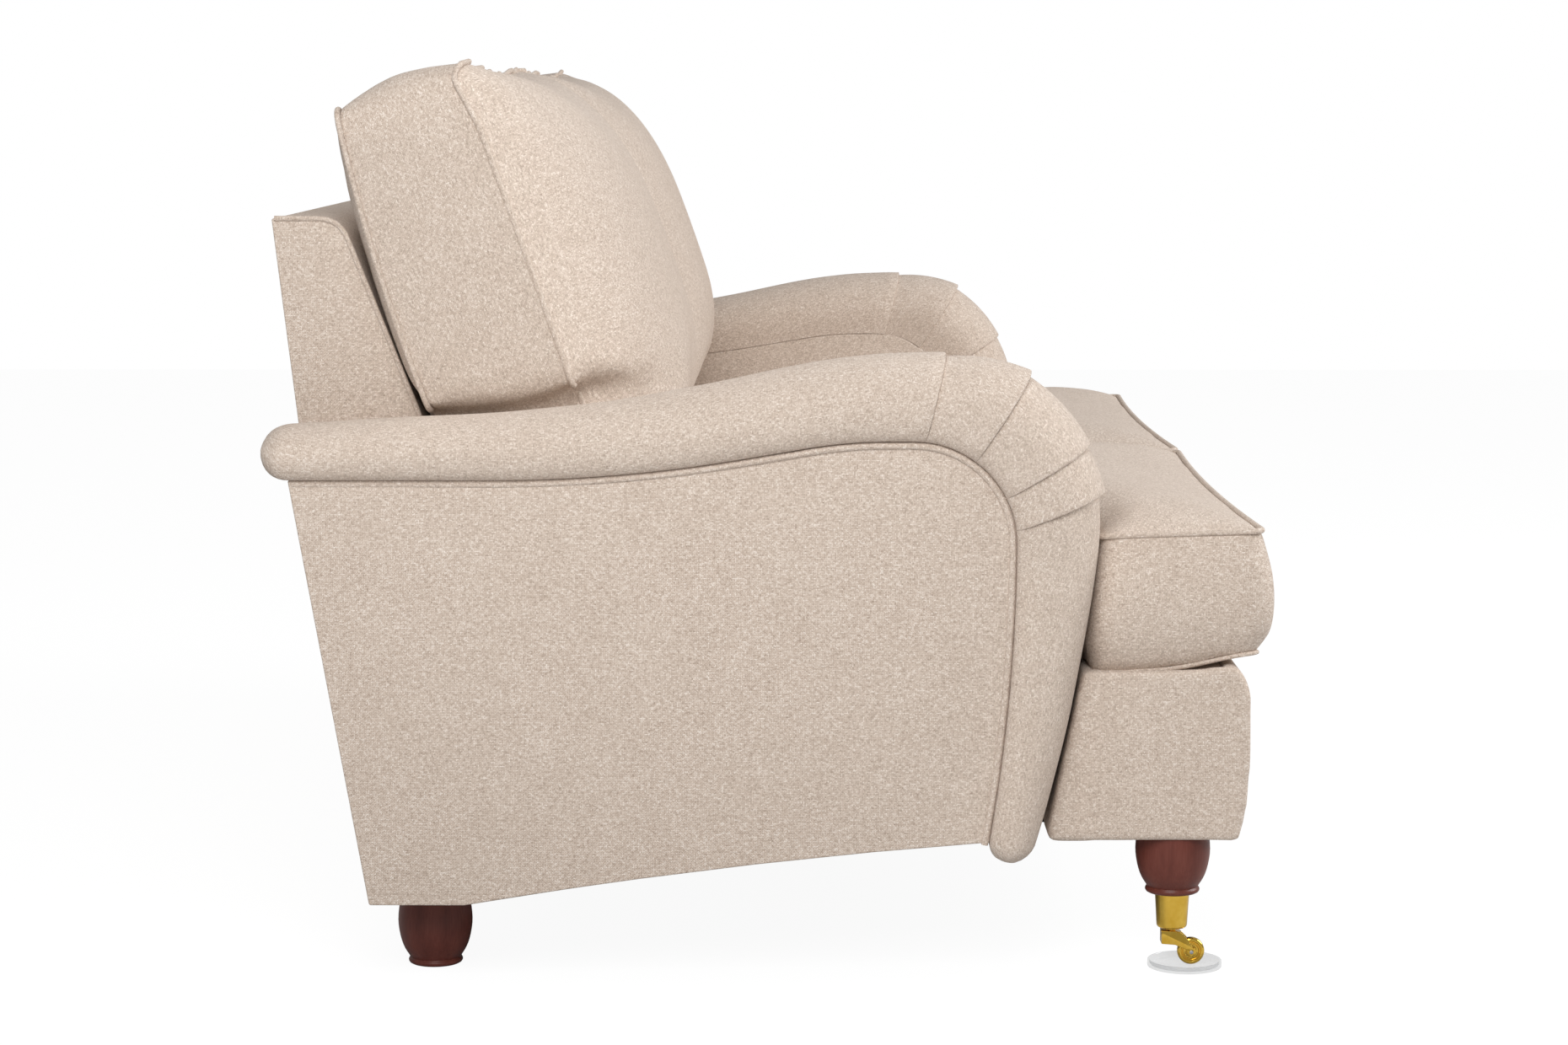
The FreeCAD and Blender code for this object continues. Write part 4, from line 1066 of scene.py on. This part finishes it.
foot_profile = [
    (22.5, 0), (24.2, 0.3), (25.8, 1.2), (26.7, 2.6), (26.8, 3.8), (26.2, 5.2), (25.3, 6.0),
    (25.1, 6.6), (25.5, 7.3), (27.0, 9.6), (28.7, 12.2), (30.4, 15.2), (32.1, 19), (33.6, 23.4),
    (34.9, 28.5),
    (35.9, 34), (36.5, 39), (36.7, 44), (36.4, 50), (35.6, 57), (34.6, 64), (34.0, 69),
]
front_leg_at = Vector((0.755, -0.395, 0))
leg_bead_z = 75.0
leg_profile = [(radius, leg_bead_z + height) for radius, height in foot_profile if height < 60]
rear_profile = foot_profile + [(33.7, 75), (33.5, 80.5)]
front_leg = turned("front_leg", leg_profile + [(35.0, timber_z / mm - 0.1)], front_leg_at)
dress_pair(front_leg, "front_leg", "turned_wood", shared=("front_legs",))
rear_foot_at = Vector((0.740, 0.333, 0))
rear_foot = turned("rear_foot", rear_profile, rear_foot_at)
dress_pair(rear_foot, "rear_foot", "turned_wood", shared=("rear_feet",))

ferrule_profile = [
    (4.2, 39.4), (11.4, 39.4), (13.0, 39.7), (14.2, 40.5), (14.9, 41.8), (15.1, 43.6), (15.3, 47.0),
    (16.0, 60.0), (16.7, 71.0), (16.9, 74.6), (15.0, 75.6),
]
ferrule = turned("castor_ferrule", ferrule_profile, front_leg_at)
dress_pair(ferrule, "castor_ferrule", "brass", shared=("castor_ferrules",))

fork = copied_node("castor_fork_right", piece_name="castor_fork_cover")
apply_modifier(fork, "BEVEL", width=0.5 * mm, segments=2, limit_method="ANGLE",
               angle_limit=math.radians(35))
smooth(fork, 35)
dress_pair(fork, "castor_fork_cover", "brass", "castor_fork", body="swivel")

axle_at = (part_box("castor_axle_right")[0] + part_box("castor_axle_right")[1]) / 2
side_profile = [
    (5.0, 2.06), (5.0, 4.4), (4.7, 4.8), (4.1, 4.95), (3.7, 5.4), (3.4, 6.2), (3.4, 7.2),
    (3.9, 7.7), (3.9, 8.3), (3.4, 8.8), (3.4, 9.4), (4.1, 9.9), (4.4, 10.6), (4.3, 11.5),
    (3.9, 12.3), (3.1, 13.0), (1.9, 13.35),
]
wheel_profile = [(-across, radius) for across, radius in side_profile] + side_profile[::-1]
wheel = spun("castor_wheel_cover", wheel_profile, axle_at)
dress_pair(wheel, "castor_wheel_cover", "brass", "castor_wheel", body="wheel")

axle_end = (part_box("castor_axle_right")[1].x - axle_at.x) / mm
end_profile = [(2.0, axle_end - 0.7), (1.8, axle_end - 0.25), (1.2, axle_end - 0.05), (0.4, axle_end)]
axle_profile = [(radius, -height) for radius, height in reversed(end_profile)] + end_profile
axle = turned("castor_axle_cover", axle_profile, axle_at, across=True, sides=24)
dress_pair(axle, "castor_axle_cover", "steel", "castor_axle", body="swivel")

cup_low, cup_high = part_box("castor_cup_right")
cup_at = Vector(((cup_low.x + cup_high.x) / 2, (cup_low.y + cup_high.y) / 2, 0))
cup_profile = [
    (35.2, 0), (36.1, 0.3), (36.5, 1.0), (36.5, 6.2), (36.2, 6.8), (35.4, 7.0), (34.7, 6.9),
    (34.2, 6.4), (34.1, 3.2), (33.7, 2.4), (32.8, 2.0),
]
cup = turned("castor_cup_cover", cup_profile, cup_at, sides=72)
dress_pair(cup, "castor_cup_cover", "clear_plastic", "castor_cup",
           body="swivel")


# Cloth under the seat
def dust_sheet():
    """One sheet under the seat, cut out round the feet and in front of the arms."""
    level_z, cloth = timber_z - 0.00075, 0.0006
    front, turn, arch_end, rear = -0.440, -0.2045, 0.295, 0.382
    arch_z = (0.14225, 0.11725, 0.08025)
    foot_half, front_foot, rear_foot = 0.0345, front_leg_at.xy, rear_foot_at.xy
    level_ys = (front, front_foot.y - foot_half, front_foot.y, front_foot.y + foot_half,
                -0.322, -0.295, -0.27, -0.24, turn)
    rows = [(y, level_z) for y in level_ys]
    for t in spread(0.0, 1.0, 20):
        z = (arch_z[0] * 2 * (t - 0.5) * (t - 1) - arch_z[1] * 4 * t * (t - 1)
             + arch_z[2] * 2 * t * (t - 0.5))
        rows.append((blend(turn + 0.0003, arch_end, t), z))
    rows += [(y, arch_z[2])
             for y in (rear_foot.y - foot_half, rear_foot.y, rear_foot.y + foot_half, rear)]
    half = [0.0] + spread(0.0, 0.68, 26)[1:] + [0.7055, 0.719, 0.740, 0.7745, 0.781, 0.8325]
    columns = [-x for x in reversed(half[1:])] + half
    deselect()
    bpy.ops.mesh.primitive_grid_add(
        x_subdivisions=len(columns) - 1, y_subdivisions=len(rows) - 1, size=2)
    sheet = bpy.context.object
    sheet.name = sheet.data.name = "dust_sheet"
    for vertex in sheet.data.vertices:
        column = round((vertex.co.x + 1) / 2 * (len(columns) - 1))
        row = round((vertex.co.y + 1) / 2 * (len(rows) - 1))
        vertex.co = (columns[column], *rows[row])

    def spare(centre):
        x, y = abs(centre.x), centre.y
        beside = y < turn + 0.0002 and x > (0.781 if y < -0.322 else 0.719)
        feet = [(x - at.x, y - at.y) for at in (front_foot, rear_foot)]
        return beside or any(abs(dx) < foot_half and abs(dy) < foot_half for dx, dy in feet)

    activate(sheet)
    bpy.ops.object.mode_set(mode="EDIT")
    bpy.ops.mesh.select_mode(type="FACE")
    bpy.ops.mesh.select_all(action="DESELECT")
    mesh = bmesh.from_edit_mesh(sheet.data)
    for face in mesh.faces:
        face.select = spare(face.calc_center_median())
    bmesh.update_edit_mesh(sheet.data)
    bpy.ops.mesh.delete(type="FACE")
    bpy.ops.mesh.select_mode(type="VERT")
    bpy.ops.mesh.select_all(action="SELECT")
    bpy.ops.mesh.normals_make_consistent(inside=False)
    bpy.ops.object.mode_set(mode="OBJECT")
    length = sum(math.dist(start, end) for start, end in zip(rows, rows[1:]))
    for vertex in sheet.data.vertices:
        edge = min(1.0, max(0.0, (0.70 - abs(vertex.co.x)) / 0.1))
        inward = min(1.0, max(0.0, (vertex.co.y - turn) / 0.1), max(0.0, (rear - vertex.co.y) / 0.1))
        vertex.co.z -= edge * inward * (0.004 + wobble(vertex.co, 0.003, 0.11))
    apply_modifier(sheet, "SOLIDIFY", thickness=cloth, offset=0)
    smooth(sheet, 40)
    dress(sheet, "root", "dust_cloth", "dust_cloth")
    2 * half[-1]


dust_sheet()


# Floor, light and camera
def seen_directly(finish):
    """One for rays from the camera or through clear plastic, nought for all others."""
    outputs = finish.node("LightPath").socket.node.outputs
    camera_ray = Value(finish, outputs["Is Camera Ray"])
    return camera_ray.math("MAXIMUM", Value(finish, outputs["Is Transmission Ray"]))


def lit_floor():
    """White to the camera with a faint shadow, and a plain pale floor to everything else."""
    white_share, white_strength, pale = 0.84, 1.12, 0.62
    material = bpy.data.materials.new("white_floor")
    material.use_nodes = True
    material.node_tree.nodes.clear()
    finish = Finish.over(material.node_tree)
    seen = seen_directly(finish)
    plain = finish.node("BsdfDiffuse", None, {"Color": (pale, pale, pale)})
    white = finish.node("Emission", None, {"Color": (1.0, 1.0, 1.0), "Strength": white_strength})
    shown = finish.node("MixShader", None, {0: seen * white_share, 1: plain, 2: white})
    finish.node("OutputMaterial", None, {0: shown})
    return material


deselect()
bpy.ops.mesh.primitive_plane_add(size=14.0, location=(0, 0, 0))
floor = bpy.context.object
floor.name = "floor"
floor.data.materials.append(lit_floor())

world = bpy.data.worlds.new("studio")
bpy.context.scene.world = world
world.use_nodes = True
sky = Finish.over(world.node_tree)
background = world.node_tree.nodes["Background"]
background.inputs["Color"].default_value = (1.0, 1.0, 1.0, 1.0)
ambient = 0.36
sky.join(background.inputs["Strength"], ambient + seen_directly(sky) * (1.0 - ambient))


def softbox(name, location, target, size, power):
    lamp = bpy.data.lights.new(name, "AREA")
    lamp.shape, lamp.size, lamp.energy = "SQUARE", size, power
    light = bpy.data.objects.new(name, lamp)
    bpy.context.collection.objects.link(light)
    light.location = location
    aim = Vector(target) - Vector(location)
    light.rotation_euler = aim.to_track_quat("-Z", "Y").to_euler()


softbox("front_softbox", (0.1, -3.3, 2.0), (-0.2, -0.1, 0.5), 1.8, 86)
softbox("side_softbox", (-2.9, 0.25, 2.1), (-0.7, 0.0, 0.5), 1.6, 57)

# The photograph's own angle, as found from its feet, castors and long edges
pitch, yaw = math.radians(6.808), math.radians(0.202)
lens = bpy.data.cameras.new("camera")
lens.lens, lens.sensor_width = 81.87, 36.0
camera = bpy.data.objects.new("camera", lens)
bpy.context.collection.objects.link(camera)
forward = Vector((math.cos(pitch) * math.cos(yaw), math.cos(pitch) * math.sin(yaw),
                  -math.sin(pitch)))
camera.location = (-4.2029, -0.0247, 0.8527)
camera.rotation_euler = forward.to_track_quat("-Z", "Y").to_euler()
bpy.context.scene.camera = camera
bpy.context.scene.view_settings.view_transform = "Standard"
